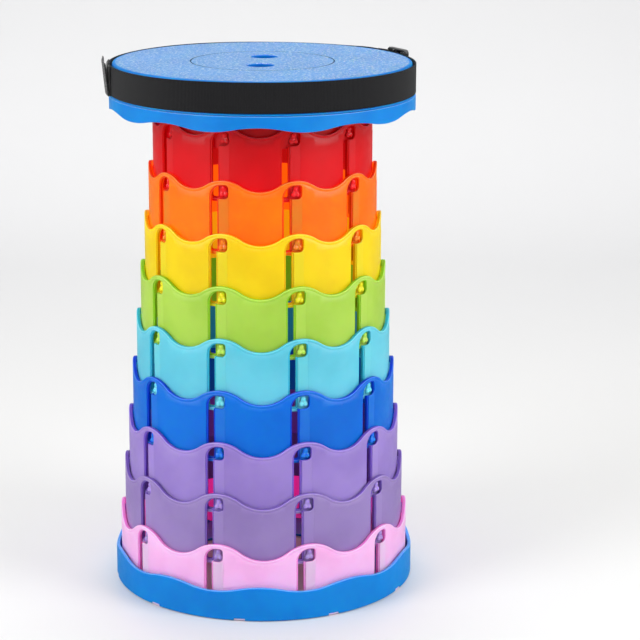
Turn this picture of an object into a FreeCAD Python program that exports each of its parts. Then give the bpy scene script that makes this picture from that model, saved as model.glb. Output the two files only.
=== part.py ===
"""Telescopic stool: a seat on a stack of nine nesting rings, in millimetres.

The origin is on the floor, in the middle of the foot ring, and +Z is up. Angles are taken from the front
of the stool (-Y) towards its right side (+X).
"""
import FreeCAD, Part
import math
import os
import Sketcher
from FreeCAD import Placement, Rotation, Vector

RING_NAMES = ("red", "orange", "yellow", "green", "cyan", "blue", "lavender", "purple", "pink")
COLUMNS = 10
LAST_RING = len(RING_NAMES) - 1
SECTOR = 360 / COLUMNS

# Each driving size: its name, its value and what it measures
DRIVING_SIZES = (
    ("ring_radius", 92.7, "outside of the top, red ring"),
    ("ring_step", 4.04, "radius that each ring gains on the one inside it"),
    ("ring_wall", 3.2, "wall of a ring"),
    ("ring_height", 60.9, "ring from its bottom to the crests of its waves"),
    ("wave_depth", 8.1, "depth of the red ring's waves"),
    ("wave_growth", 0.58, "depth that the waves gain from ring to ring"),
    ("column_angle", 16.2, "angle of the red ring's pockets from the front"),
    ("column_twist", 0.22, "turn of the columns from one ring to the next"),
    ("pin_drop", 9.8, "crest down to the middle of the pin in its pocket"),
    ("pin_rise", 8.1, "bottom of a ring up to the middle of its own pins"),
    ("pin_radius", 2.2, "rounding of a pin's three lobes"),
    ("pin_spread", 1.7, "side offset of the two lower lobes"),
    ("pin_top", 2.9, "upper lobe above the middle of the pin"),
    ("pin_foot", 1.9, "lower lobes below the middle of the pin"),
    ("pin_reach", 2.6, "pin past the outside of its ring"),
    ("fit_gap", 0.35, "running clearance around a pin"),
    ("slot_width", 8.2, "slot in the outside of a ring"),
    ("slot_offset", 3.8, "pin's middle to the near edge of the slot"),
    ("slot_rest", 2.3, "solid strip below a slot"),
    ("hook_right", 4.8, "pin's middle to the right side of the pocket"),
    ("hook_top", 6.6, "pin's middle to the top of the hook"),
    ("hook_floor", 5.6, "pin's middle down to the pocket's floor"),
    ("shoulder_radius", 10.6, "bend of the hook over the slot"),
    ("brow_radius", 3.4, "bend from the top of the hook down to the pocket"),
    ("corner_radius", 1.9, "corners of the slot"),
    ("pocket_radius", 4.0, "round bottom of the pocket"),
    ("lip_radius", 0.8, "edge between the pocket's floor and the slot"),
    ("ledge_width", 1.5, "ledge beside a slot"),
    ("ledge_depth", 0.7, "depth of the ledge below the ring's outside"),
    ("base_radius", 129.7, "outside of the foot ring"),
    ("base_wall", 2.9, "wall of the foot ring"),
    ("base_crest", 29.6, "height of the foot ring's crests"),
    ("base_wave", 4.6, "depth of the foot ring's waves"),
    ("floor_hole", 82.0, "radius of the opening in the floor"),
    ("floor_thickness", 2.1, "floor of the foot ring"),
    ("floor_seat", 0.4, "raised rim on which the pink ring stands"),
    ("pad_thickness", 0.6, "anti-slip pad"),
    ("pad_radius", 7.0, "anti-slip pad"),
    ("pad_circle", 103.0, "circle of the anti-slip pads"),
    ("tab_angle", 9.2, "pink ring's tabs, left of the front"),
    ("tab_width", 9.0, "tab of the pink ring"),
    ("tab_height", 0.9, "toe of a tab"),
    ("seat_height", 450.0, "top of the seat"),
    ("seat_radius", 127.3, "wall behind the strap"),
    ("seat_plate", 3.2, "seat plate"),
    ("rim_wall", 2.0, "wall behind the strap"),
    ("edge_round", 1.9, "rounded edge of the seat"),
    ("edge_draft", 1.7, "seat's top edge inside the wall below it"),
    ("draft_height", 10.0, "seat's top down to where the draft starts"),
    ("lip_reach", 1.0, "lip below the strap past the wall"),
    ("lip_height", 1.3, "lip below the strap"),
    ("rabbet_depth", 1.1, "step inside the wall for the skirt's tongue"),
    ("rabbet_height", 6.7, "step inside the wall for the skirt's tongue"),
    ("parting_gap", 0.4, "parting line between cover and skirt"),
    ("skirt_radius", 128.7, "outside of the skirt"),
    ("skirt_drop", 13.2, "skirt from the parting line to its lowest lobes"),
    ("skirt_wave", 4.0, "depth of the skirt's waves"),
    ("insert_radius", 60.0, "disc in the middle of the seat"),
    ("insert_gap", 0.35, "gap around the disc"),
    ("recess_wall", 3.2, "wall and floor of the disc's recess"),
    ("finger_radius", 11.5, "finger hole"),
    ("finger_offset", 27.4, "finger hole from the middle"),
    ("finger_turn", 3.5, "turn of the line through the finger holes"),
    ("well_depth", 22.0, "finger hole from the seat's top to its floor"),
    ("well_wall", 1.8, "wall of a finger well"),
    ("rib_thickness", 2.2, "rib under the seat"),
    ("rib_depth", 9.0, "rib under the seat"),
    ("rib_reach", 82.0, "radius at which the ribs end"),
    ("boss_circle", 77.5, "circle of the collar's screws"),
    ("boss_radius", 4.0, "screw boss"),
    ("boss_height", 10.0, "screw boss"),
    ("boss_count", 5, "screws in the collar"),
    ("collar_flange", 2.8, "inner flange of the collar"),
    ("flange_hole", 71.0, "radius inside the collar's flange"),
    ("screw_radius", 1.5, "screw shank"),
    ("screw_length", 11.0, "screw shank"),
    ("head_radius", 3.0, "screw head"),
    ("head_height", 2.2, "screw head"),
    ("collar_gap", 0.3, "collar's top below the seat plate"),
    ("strap_width", 24.8, "webbing"),
    ("strap_thickness", 1.2, "webbing"),
    ("strap_gap", 0.3, "air between webbing and what is beside it"),
    ("tail_span", 20.0, "angle that the closure spans"),
    ("tail_angle", 85.0, "middle of the closure, left of the front"),
    ("tail_rise", 2.6, "free end above the strap"),
    ("tail_lean", 2.6, "free end's top leaning off the strap"),
    ("patch_thickness", 1.1, "hook patch"),
    ("glide_angle", 118.0, "strap adjuster, right of the front"),
    ("glide_length", 30.0, "strap adjuster along the strap"),
    ("glide_height", 29.0, "strap adjuster"),
    ("glide_bar", 3.4, "bars of the strap adjuster"),
    ("glide_depth", 4.6, "thickness of the strap adjuster"),
    ("glide_rise", 2.4, "strap adjuster above the seat"),
    ("glide_lift", 2.2, "strap adjuster off the strap"),
    ("handle_angle", 172.0, "handle loop, right of the front"),
    ("handle_reach", 54.0, "handle loop behind the strap"),
    ("handle_bow", 25.0, "bend radius of the handle's loop"),
    ("handle_droop", 20.0, "slope at which the handle hangs"),
)

VALUES = {name: value for name, value, _ in DRIVING_SIZES}


class Size:
    """A number together with the expression that yields it from the sheet's cells."""

    def __init__(self, number, text=None):
        self.number = float(number)
        self.text = text or repr(float(number))

    def _join(self, other, sign, number):
        return Size(number, f"({self.text} {sign} {other.text})")

    def __add__(self, other):
        other = as_size(other)
        return self._join(other, "+", self.number + other.number)

    def __sub__(self, other):
        other = as_size(other)
        return self._join(other, "-", self.number - other.number)

    def __mul__(self, other):
        other = as_size(other)
        return self._join(other, "*", self.number * other.number)

    def __truediv__(self, other):
        other = as_size(other)
        return self._join(other, "/", self.number / other.number)

    def __neg__(self):
        return Size(-self.number, f"(0 - {self.text})")


def as_size(value):
    return value if isinstance(value, Size) else Size(value)


def size(name):
    """The driving size of this name."""
    return Size(VALUES[name], f"Sizes.{name}")


def sine(angle):
    return Size(math.sin(math.radians(angle.number)), f"sin({angle.text} * 1 deg)")


def cosine(angle):
    return Size(math.cos(math.radians(angle.number)), f"cos({angle.text} * 1 deg)")


def root(square):
    return Size(math.sqrt(square.number), f"sqrt({square.text})")


document = FreeCAD.newDocument("telescopic_stool")


def fill_sheet():
    """The sheet of driving sizes: a note, a plain number and an alias in each row."""
    sheet = document.addObject("Spreadsheet::Sheet", "Sizes")
    for row, (name, value, note) in enumerate(DRIVING_SIZES, start=1):
        sheet.set(f"A{row}", note)
        sheet.set(f"B{row}", str(value))
        sheet.setAlias(f"B{row}", name)
    document.recompute()


def bind(item, path, value):
    """Ties a property of an object to a size."""
    item.setExpression(path, as_size(value).text)


def new_body(label):
    body = document.addObject("PartDesign::Body", label)
    body.Label = label
    return body


def origin_feature(body, role):
    return next(item for item in body.Origin.OriginFeatures if item.Role == role)


def new_sketch(body, name, plane="XZ_Plane", shift=None, turn=None):
    """A sketch on an origin plane, turned about Z and moved along its own normal.

    The upright plane faces the front, so that a shift takes the sketch outwards from the axis.
    """
    sketch = body.newObject("Sketcher::SketchObject", name)
    sketch.AttachmentSupport = [(origin_feature(body, plane), "")]
    sketch.MapMode = "FlatFace"
    if turn is not None:
        sketch.AttachmentOffset = Placement(Vector(0, 0, 0), Rotation(Vector(0, 1, 0), turn.number))
        bind(sketch, "AttachmentOffset.Rotation.Angle", turn)
    if shift is not None and turn is not None:
        bind(sketch, "AttachmentOffset.Base.x", shift * sine(turn))
        bind(sketch, "AttachmentOffset.Base.z", shift * cosine(turn))
    elif shift is not None:
        bind(sketch, "AttachmentOffset.Base.z", shift)
    return sketch


def add_circle(sketch, radius, x=None, y=None):
    """A circle of a bound radius, in the middle or at a bound place."""
    x, y = as_size(x or 0), as_size(y or 0)
    centre = Vector(x.number, y.number, 0)
    index = sketch.addGeometry(Part.Circle(centre, Vector(0, 0, 1), radius.number), False)
    pin_point(sketch, index, 3, x, y)
    radius_constraint = sketch.addConstraint(Sketcher.Constraint("Radius", index, radius.number))
    bind(sketch, f"Constraints[{radius_constraint}]", radius)


def pin_point(sketch, index, end, x, y):
    """Holds one point of the sketch at a bound place."""
    for direction, value in (("DistanceX", x), ("DistanceY", y)):
        rule = Sketcher.Constraint(direction, -1, 1, index, end, value.number)
        number = sketch.addConstraint(rule)
        bind(sketch, f"Constraints[{number}]", value)


def arc_geometry(start, end, radius, clockwise):
    """The minor arc of a radius from start to end, and whether its own start is the given one."""
    middle, half = (start + end) / 2, (end - start) / 2
    rise = math.sqrt(max(radius ** 2 - half.Length ** 2, 0))
    side = Vector(half.y, -half.x, 0).normalize() * (1 if clockwise else -1)
    centre = middle + side * rise
    first, last = (end, start) if clockwise else (start, end)
    angles = [math.atan2(p.y - centre.y, p.x - centre.x) for p in (first, last)]
    circle = Part.Circle(centre, Vector(0, 0, 1), radius)
    return Part.ArcOfCircle(circle, angles[0], angles[1]), not clockwise


def add_outline(sketch, corners):
    """A closed outline. A corner is (x, y), and (x, y, radius, clockwise) where an arc leaves it."""
    ends = []
    for number, corner in enumerate(corners):
        after = corners[(number + 1) % len(corners)]
        start = Vector(as_size(corner[0]).number, as_size(corner[1]).number, 0)
        end = Vector(as_size(after[0]).number, as_size(after[1]).number, 0)
        if len(corner) == 2:
            index = sketch.addGeometry(Part.LineSegment(start, end), False)
            ends.append((index, 1, 2))
            continue
        radius = as_size(corner[2])
        arc, forwards = arc_geometry(start, end, radius.number, corner[3])
        index = sketch.addGeometry(arc, False)
        ends.append((index, 1, 2) if forwards else (index, 2, 1))
    for number, corner in enumerate(corners):
        index, first, _ = ends[number]
        before, _, last = ends[number - 1]
        sketch.addConstraint(Sketcher.Constraint("Coincident", before, last, index, first))
        pin_point(sketch, index, first, as_size(corner[0]), as_size(corner[1]))
        if len(corner) > 2:
            radius = as_size(corner[2])
            rule = sketch.addConstraint(Sketcher.Constraint("Radius", index, radius.number))
            bind(sketch, f"Constraints[{rule}]", radius)


def pad(body, name, sketch, length, reverse=False):
    feature = body.newObject("PartDesign::Pad", name)
    feature.Profile = sketch
    bind(feature, "Length", length)
    feature.Reversed = reverse
    return feature


def pocket(body, name, sketch, length, reverse=False):
    feature = body.newObject("PartDesign::Pocket", name)
    feature.Profile = sketch
    bind(feature, "Length", length)
    feature.Reversed = reverse
    return feature


def revolve(body, name, sketch, angle=360):
    """The outline turned about the stool's axis, evenly to both sides."""
    feature = body.newObject("PartDesign::Revolution", name)
    feature.Profile = sketch
    feature.ReferenceAxis = (sketch, ["V_Axis"])
    feature.Angle = angle
    feature.Midplane = angle < 360
    return feature


def repeat_sector(body):
    """The finished sector again, evenly around the stool's axis, as one whole ring."""
    document.recompute()
    pattern = body.newObject("PartDesign::PolarPattern", f"{body.Name}_columns")
    pattern.TransformMode = "Whole shape"
    pattern.Axis = (origin_feature(body, "Z_Axis"), [""])
    pattern.Angle = 360
    pattern.Occurrences = COLUMNS
    body.Tip = pattern
    return pattern


def repeat(body, features, count):
    """Some features again, evenly around the stool's axis."""
    pattern = body.newObject("PartDesign::PolarPattern", f"{features[0].Name}_pattern")
    pattern.Originals = features
    pattern.Axis = (origin_feature(body, "Z_Axis"), [""])
    pattern.Angle = 360
    bind(pattern, "Occurrences", count)
    body.Tip = pattern
    return pattern


def place(item, height=None, turn=None):
    """Lifts a sub-part to its height and turns it about the stool's axis."""
    if turn is not None:
        item.Placement = Placement(Vector(0, 0, 0), Rotation(Vector(0, 0, 1), turn.number or 1))
        bind(item, "Placement.Rotation.Angle", turn)
    if height is not None:
        bind(item, "Placement.Base.z", height)


# Places that follow from the driving sizes
PITCH = size("ring_height") - size("pin_drop") - size("pin_rise")
FLOOR_TOP = size("pad_thickness") + size("floor_thickness")
STACK_FOOT = FLOOR_TOP + size("floor_seat")
PLATE_FOOT = size("seat_height") - size("seat_plate")
STRAP_FOOT = size("seat_height") - size("strap_gap") - size("strap_width")
LIP_TOP = STRAP_FOOT - size("strap_gap")
LIP_FOOT = LIP_TOP - size("lip_height")
RIM_INSIDE = size("seat_radius") - size("rim_wall")
STRAP_INSIDE = size("seat_radius") + size("strap_gap")
STRAP_OUTSIDE = STRAP_INSIDE + size("strap_thickness")
COLLAR_FOOT = STACK_FOOT + PITCH * len(RING_NAMES)
BOSS_FOOT = PLATE_FOOT - size("boss_height")
HALF_SECTOR = Size(SECTOR / 2)
BASE_TURN = HALF_SECTOR - size("column_angle")
FRONT = Size(-90)


def ring_outside(number):
    return size("ring_radius") + size("ring_step") * number


def column(number):
    """Angle of the pockets of a ring. Its pins stand in the next ring's pockets."""
    return size("column_angle") + size("column_twist") * number


def wave_corners(radius, top, depth, up=1):
    """Outline of the cut that leaves one crest in the middle of a sector, all tangent arcs.

    With up = -1 the crest hangs downwards.
    """
    reach = radius * sine(HALF_SECTOR)
    bend = (reach * reach + depth * depth) / (depth * 4)
    half, middle = reach / 2, top - depth / 2 * up
    trough = top - depth * up
    run = reach + size("ring_wall")
    over = top + size("ring_wall") * 2 * up
    turning = up > 0
    return [
        (-reach, trough, bend, not turning),
        (-half, middle, bend, turning),
        (half, middle, bend, not turning),
        (reach, trough),
        (run, trough),
        (run, over),
        (-run, over),
        (-run, trough),
    ]


def hook_corners(inset):
    """Outline of a slot with its hook and pocket, drawn in from the ledge's edge.

    The slot's sides and foot move by the whole inset, the hook's top by half and the pocket by a quarter.
    """
    pin = size("ring_height") - size("pin_drop")
    left = -size("slot_offset") - size("slot_width") + inset
    edge = -size("slot_offset") - inset
    right = size("hook_right") - inset / 4
    top = pin + size("hook_top") - inset / 2
    floor = pin - size("hook_floor") + inset / 4
    foot = size("slot_rest") + inset
    bend = size("shoulder_radius") - inset * 0.75
    brow = size("brow_radius") - inset / 2
    corner = size("corner_radius") - inset / 2
    bottom = size("pocket_radius") - inset / 4
    lip = size("lip_radius")
    return [
        (left, foot + corner),
        (left, top - bend, bend, True),
        (left + bend, top),
        (right - brow, top, brow, True),
        (right, top - brow),
        (right, floor + bottom, bottom, True),
        (right - bottom, floor),
        (edge + lip, floor, lip, False),
        (edge, floor - lip),
        (edge, foot + corner, corner, True),
        (edge - corner, foot),
        (left + corner, foot, corner, True),
    ]


def pin_corners(x, height):
    """Outline of a pin: a rounded triangle around one upper and two lower lobes."""
    radius, spread = size("pin_radius"), size("pin_spread")
    crown, foot = height + size("pin_top"), height - size("pin_foot")
    flank = size("pin_top") + size("pin_foot")
    slant = root(flank * flank + spread * spread)
    out, up = radius * flank / slant, radius * spread / slant
    return [
        (x - out, crown + up, radius, True),
        (x + out, crown + up),
        (x + spread + out, foot + up, radius, True),
        (x + spread, foot - radius),
        (x - spread, foot - radius, radius, True),
        (x - spread - out, foot + up),
    ]


def add_wedge(body, corners):
    """One sector of a turned wall or floor, in the middle of the front."""
    sketch = new_sketch(body, f"{body.Name}_profile", turn=FRONT)
    add_outline(sketch, corners)
    return revolve(body, f"{body.Name}_wall", sketch, SECTOR)


def rectangle(left, right, foot, top):
    return [(left, foot), (right, foot), (right, top), (left, top)]


def add_waves(body, radius, top, depth, up=1):
    """Cuts the rim of a sector so that its crest stands in the middle."""
    sketch = new_sketch(body, f"{body.Name}_wave_outline")
    add_outline(sketch, wave_corners(radius, top, depth, up))
    return pocket(body, f"{body.Name}_wave", sketch, radius + size("ring_wall"), reverse=True)


def add_pin(body, outside, height):
    """A pin on the outside of a ring, which stands in the pocket of the ring around it."""
    root_depth = size("ring_wall") / 4
    sketch = new_sketch(body, f"{body.Name}_pin_outline", shift=outside - root_depth)
    add_outline(sketch, pin_corners(outside * sine(size("column_twist")), height))
    return pad(body, f"{body.Name}_pin", sketch, root_depth + size("pin_reach"))


def add_hooked_slot(body, outside):
    """A slot with its hook and pocket, sunk ledge around it, and the runner below the pocket."""
    inside = outside - size("ring_wall")
    sketch = new_sketch(body, f"{body.Name}_slot_outline", shift=inside - size("ring_wall"))
    add_outline(sketch, hook_corners(size("ledge_width")))
    pocket(body, f"{body.Name}_slot", sketch, size("ring_wall") * 3, reverse=True)

    sketch = new_sketch(body, f"{body.Name}_ledge_outline", shift=outside - size("ledge_depth"))
    add_outline(sketch, hook_corners(Size(0)))
    pocket(body, f"{body.Name}_ledge", sketch, size("ring_wall"), reverse=True)

    # In the runner the pin of the ring inside slides down behind the wall's skin
    pin_end = outside - size("ring_step") + size("pin_reach")
    half = size("pin_spread") + size("pin_radius") + size("fit_gap")
    foot = size("pin_rise") - size("pin_foot") - size("pin_radius") - size("fit_gap")
    sketch = new_sketch(body, f"{body.Name}_runner_outline", shift=pin_end + size("fit_gap"))
    add_outline(sketch, rectangle(-half, half, foot, size("ring_height") - size("pin_drop")))
    pocket(body, f"{body.Name}_runner", sketch, size("ring_wall") * 2)


def make_ring(number, name):
    """One ring of the stack, standing on its own bottom edge before it is lifted to its place."""
    body = new_body(f"ring_{name}")
    outside = ring_outside(number)
    inside = outside - size("ring_wall")
    add_wedge(body, rectangle(inside, outside, Size(0), size("ring_height") + size("ring_wall")))
    depth = size("wave_depth") + size("wave_growth") * number
    add_waves(body, outside, size("ring_height"), depth)
    add_hooked_slot(body, outside)
    if number < LAST_RING:
        add_pin(body, outside, size("pin_rise"))
    else:
        add_tab(body, outside)
    repeat_sector(body)
    place(body, STACK_FOOT + PITCH * (LAST_RING - number), column(number))
    return body


def add_tab(body, outside):
    """A tab of the pink ring, which reaches down through the floor and hooks outwards."""
    half = size("tab_width") / 2
    turn = Size(SECTOR) - size("tab_angle") - column(LAST_RING)
    start = outside - size("ring_wall") + size("fit_gap")
    sole = size("pad_thickness") + size("fit_gap") - STACK_FOOT
    sketch = new_sketch(body, f"{body.Name}_tab_outline", shift=start, turn=turn)
    add_outline(sketch, rectangle(-half, half, sole, size("fit_gap")))
    pad(body, f"{body.Name}_tab", sketch, size("ring_wall") - size("fit_gap") * 2)
    sketch = new_sketch(body, f"{body.Name}_toe_outline", shift=start, turn=turn)
    add_outline(sketch, rectangle(-half, half, sole, sole + size("tab_height")))
    pad(body, f"{body.Name}_toe", sketch, size("base_radius") - size("fit_gap") - start)


def make_base():
    """The foot ring: a scalloped wall and a floor under the folded stack."""
    body = new_body("base_ring")
    outside = size("base_radius")
    foot, crest = size("pad_thickness"), size("base_crest")
    pink_outside = ring_outside(LAST_RING)
    pink_inside = pink_outside - size("ring_wall")
    add_wedge(body, [
        (size("floor_hole"), foot),
        (outside, foot),
        (outside, crest + size("ring_wall")),
        (outside - size("base_wall"), crest + size("ring_wall")),
        (outside - size("base_wall"), STACK_FOOT),
        (pink_inside - size("fit_gap"), STACK_FOOT),
        (pink_inside - size("fit_gap"), FLOOR_TOP),
        (size("floor_hole"), FLOOR_TOP),
    ])
    add_waves(body, outside, crest, size("base_wave"))
    # Openings for the pink ring's tabs, which start inside the raised rim
    turn = BASE_TURN - size("tab_angle")
    half = size("tab_width") / 2 + size("fit_gap")
    start = pink_inside - size("fit_gap") * 2
    notch_top = foot + size("tab_height") + size("fit_gap") * 2
    sketch = new_sketch(body, "base_notch_outline", shift=start, turn=turn)
    add_outline(sketch, rectangle(-half, half, Size(0), notch_top))
    pocket(body, "base_notch", sketch, outside - start + size("ring_wall"), reverse=True)
    sketch = new_sketch(body, "base_opening_outline", shift=start, turn=turn)
    add_outline(sketch, rectangle(-half, half, Size(0), STACK_FOOT + size("fit_gap")))
    pocket(body, "base_opening", sketch, pink_outside - start, reverse=True)
    repeat_sector(body)
    place(body, turn=-BASE_TURN)
    return body


def add_cylinder(name, radius, height, x, y, z):
    item = document.addObject("Part::Cylinder", name)
    for path, value in (("Radius", radius), ("Height", height), ("Placement.Base.x", x),
                        ("Placement.Base.y", y), ("Placement.Base.z", z)):
        bind(item, path, value)
    return item


def around(radius, angle):
    """Place at an angle from the front."""
    return radius * sine(angle), -radius * cosine(angle)


def gather(label, items):
    """Like pieces in one sub-part, each a solid of its own."""
    group = document.addObject("Part::Compound", label)
    group.Label = label
    group.Links = items
    return group


def make_pads():
    """Anti-slip pads under the floor of the foot ring."""
    pads = []
    for number in range(COLUMNS):
        x, y = around(size("pad_circle"), size("column_angle") + SECTOR * number)
        pads.append(add_cylinder(f"pad_{number}", size("pad_radius"), size("pad_thickness"), x, y, Size(0)))
    return gather("foot_pads", pads)


def make_cover():
    """The seat's cover: plate, strap wall with its lip, recess for the disc, wells, ribs and bosses."""
    body = new_body("seat_cover")
    top, outside, wall = size("seat_height"), size("seat_radius"), size("recess_wall")
    recess = size("insert_radius") + size("insert_gap")
    rabbet = RIM_INSIDE + size("rabbet_depth")
    draft = size("edge_draft")
    sketch = new_sketch(body, "cover_profile")
    add_outline(sketch, [
        (Size(0), PLATE_FOOT - wall),
        (recess + wall, PLATE_FOOT - wall),
        (recess + wall, PLATE_FOOT),
        (RIM_INSIDE - draft / 4, PLATE_FOOT),
        (RIM_INSIDE, PLATE_FOOT - draft / 4),
        (RIM_INSIDE, LIP_FOOT + size("rabbet_height")),
        (rabbet, LIP_FOOT + size("rabbet_height")),
        (rabbet, LIP_FOOT),
        (outside + size("lip_reach"), LIP_FOOT),
        (outside + size("lip_reach"), LIP_TOP),
        (outside, LIP_TOP),
        (outside, top - size("draft_height")),
        (outside - draft, top - size("edge_round"), size("edge_round"), False),
        (outside - draft - size("edge_round"), top),
        (recess, top),
        (recess, PLATE_FOOT),
        (Size(0), PLATE_FOOT),
    ])
    revolve(body, "cover_shell", sketch)
    well_foot = top - size("well_depth") - size("well_wall")
    recess_floor = PLATE_FOOT - wall / 2
    sketch = new_sketch(body, "well_outline", "XY_Plane", well_foot)
    add_finger_circles(sketch, size("finger_radius") + size("well_wall"))
    pad(body, "wells", sketch, recess_floor - well_foot)
    sketch = new_sketch(body, "well_bore_outline", "XY_Plane", well_foot + size("well_wall"))
    add_finger_circles(sketch, size("finger_radius"))
    pocket(body, "well_bores", sketch, size("well_depth"), reverse=True)

    sketch = new_sketch(body, "rib_outline", "XY_Plane", PLATE_FOOT - size("rib_depth"))
    half = size("rib_thickness") / 2
    add_outline(sketch, rectangle(-half, half, -size("rib_reach"), -recess - wall / 2))
    rib = pad(body, "rib", sketch, size("rib_depth") + size("seat_plate") / 2)
    repeat(body, [rib], Size(COLUMNS))
    sketch = new_sketch(body, "boss_outline", "XY_Plane", BOSS_FOOT)
    add_circle(sketch, size("boss_radius"), *boss_centre())
    boss = pad(body, "boss", sketch, size("boss_height") + size("seat_plate") / 2)
    sketch = new_sketch(body, "boss_bore_outline", "XY_Plane", BOSS_FOOT)
    add_circle(sketch, size("screw_radius"), *boss_centre())
    bore = pocket(body, "boss_bore", sketch, size("screw_length") - size("collar_flange"), reverse=True)
    repeat(body, [boss, bore], size("boss_count"))
    return body


def boss_centre():
    """The first screw of the collar, between two ribs."""
    return around(size("boss_circle"), HALF_SECTOR)


def add_finger_circles(sketch, radius):
    for side in (1, -1):
        x = size("finger_offset") * sine(size("finger_turn")) * side
        y = size("finger_offset") * cosine(size("finger_turn")) * side
        add_circle(sketch, radius, x, y)


def make_insert():
    """The disc in the middle of the seat, with its two finger holes."""
    body = new_body("seat_insert")
    sketch = new_sketch(body, "insert_outline", "XY_Plane", PLATE_FOOT)
    add_circle(sketch, size("insert_radius"))
    add_finger_circles(sketch, size("finger_radius"))
    pad(body, "insert_disc", sketch, size("seat_plate"))
    return body


def make_skirt():
    """The scalloped ring below the strap, with a tongue inside the cover's wall."""
    body = new_body("seat_skirt")
    shoulder = LIP_FOOT - size("parting_gap")
    foot = shoulder - size("skirt_drop")
    tongue = RIM_INSIDE + size("rabbet_depth") - size("insert_gap") / 2
    add_wedge(body, [
        (RIM_INSIDE, foot - size("ring_wall")),
        (size("skirt_radius"), foot - size("ring_wall")),
        (size("skirt_radius"), shoulder),
        (tongue, shoulder),
        (tongue, LIP_FOOT + size("rabbet_height")),
        (RIM_INSIDE, LIP_FOOT + size("rabbet_height")),
    ])
    add_waves(body, size("skirt_radius"), foot, size("skirt_wave"), up=-1)
    repeat_sector(body)
    place(body, turn=size("column_angle"))
    return body


def make_collar():
    """The ring that hangs below the seat, with pins in the red ring's pockets and a screwed flange."""
    body = new_body("seat_collar")
    outside = ring_outside(-1)
    inside = outside - size("ring_wall")
    add_wedge(body, [
        (inside, COLLAR_FOOT),
        (outside, COLLAR_FOOT),
        (outside, PLATE_FOOT - size("collar_gap")),
        (inside, PLATE_FOOT - size("collar_gap")),
        (inside, BOSS_FOOT),
        (size("flange_hole"), BOSS_FOOT),
        (size("flange_hole"), BOSS_FOOT - size("collar_flange")),
        (inside, BOSS_FOOT - size("collar_flange")),
    ])
    add_pin(body, outside, COLLAR_FOOT + size("pin_rise"))
    repeat_sector(body)
    sketch = new_sketch(body, "flange_bore_outline", "XY_Plane", BOSS_FOOT - size("collar_flange") * 2)
    centre = around(size("boss_circle"), HALF_SECTOR - column(-1))
    add_circle(sketch, size("screw_radius") + size("insert_gap"), *centre)
    bore = pocket(body, "flange_bore", sketch, size("collar_flange") * 3, reverse=True)
    repeat(body, [bore], size("boss_count"))
    place(body, turn=column(-1))
    return body


def make_screws():
    """The screws that hold the collar, heads down."""
    screws = []
    head_top = BOSS_FOOT - size("collar_flange")
    for number in range(round(VALUES["boss_count"])):
        angle = HALF_SECTOR + Size(360) / size("boss_count") * number
        x, y = around(size("boss_circle"), angle)
        shank = add_cylinder(f"shank_{number}", size("screw_radius"), size("screw_length"), x, y, head_top)
        head_foot = head_top - size("head_height")
        head = add_cylinder(f"head_{number}", size("head_radius"), size("head_height"), x, y, head_foot)
        screw = document.addObject("Part::Fuse", f"screw_{number}")
        screw.Base, screw.Tool = head, shank
        screws.append(screw)
    return gather("collar_screws", screws)


def make_band():
    """The webbing around the seat."""
    outer = add_cylinder("band_outside", STRAP_OUTSIDE, size("strap_width"), Size(0), Size(0), STRAP_FOOT)
    inner = add_cylinder("band_inside", STRAP_INSIDE, size("strap_width"), Size(0), Size(0), STRAP_FOOT)
    band = document.addObject("Part::Cut", "strap_band")
    band.Label = "strap_band"
    band.Base, band.Tool = outer, inner
    return band


def make_closure(label, start, thickness, rise, lean):
    """A layer of the closure at the left, over the band."""
    body = new_body(label)
    sketch = new_sketch(body, f"{label}_profile", turn=FRONT)
    top = STRAP_FOOT + size("strap_width") + rise
    add_outline(sketch, [
        (start, STRAP_FOOT),
        (start + thickness, STRAP_FOOT),
        (start + thickness + lean, top),
        (start + lean, top),
    ])
    revolve(body, f"{label}_layer", sketch, VALUES["tail_span"])
    place(body, turn=-size("tail_angle"))
    return body


def make_glide():
    """The strap adjuster: a flat frame with a middle bar."""
    body = new_body("tri_glide")
    bar = size("glide_bar")
    half, top = size("glide_length") / 2, size("seat_height") + size("glide_rise")
    foot = top - size("glide_height")
    sketch = new_sketch(body, "glide_outline", shift=STRAP_OUTSIDE + size("glide_lift"))
    add_outline(sketch, rectangle(-half, half, foot, top))
    rim = (size("glide_height") - size("strap_width")) / 2 - size("strap_gap")
    add_outline(sketch, rectangle(-half + bar, -bar / 2, foot + rim, top - rim))
    add_outline(sketch, rectangle(bar / 2, half - bar, foot + rim, top - rim))
    pad(body, "glide_frame", sketch, size("glide_depth"))
    place(body, turn=size("glide_angle"))
    return body


def make_bight():
    """The webbing that runs over the adjuster's middle bar, down to the band on both sides."""
    body = new_body("strap_bight")
    web, gap = size("strap_thickness"), size("strap_gap")
    inner = size("glide_bar") / 2 + gap
    outer = inner + web
    start = STRAP_OUTSIDE + gap
    crown = STRAP_OUTSIDE + size("glide_lift") + size("glide_depth") + gap
    middle = size("seat_height") + size("glide_rise") - size("glide_height") / 2
    sketch = new_sketch(body, "bight_outline", "XY_Plane", middle - size("strap_width") / 2)
    add_outline(sketch, [
        (-outer, -start),
        (-inner, -start),
        (-inner, -crown),
        (inner, -crown),
        (inner, -start),
        (outer, -start),
        (outer, -crown - web / 2, web / 2, True),
        (outer - web / 2, -crown - web),
        (-outer + web / 2, -crown - web, web / 2, True),
        (-outer, -crown - web / 2),
    ])
    pad(body, "bight_web", sketch, size("strap_width"))
    place(body, turn=size("glide_angle"))
    return body


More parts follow.
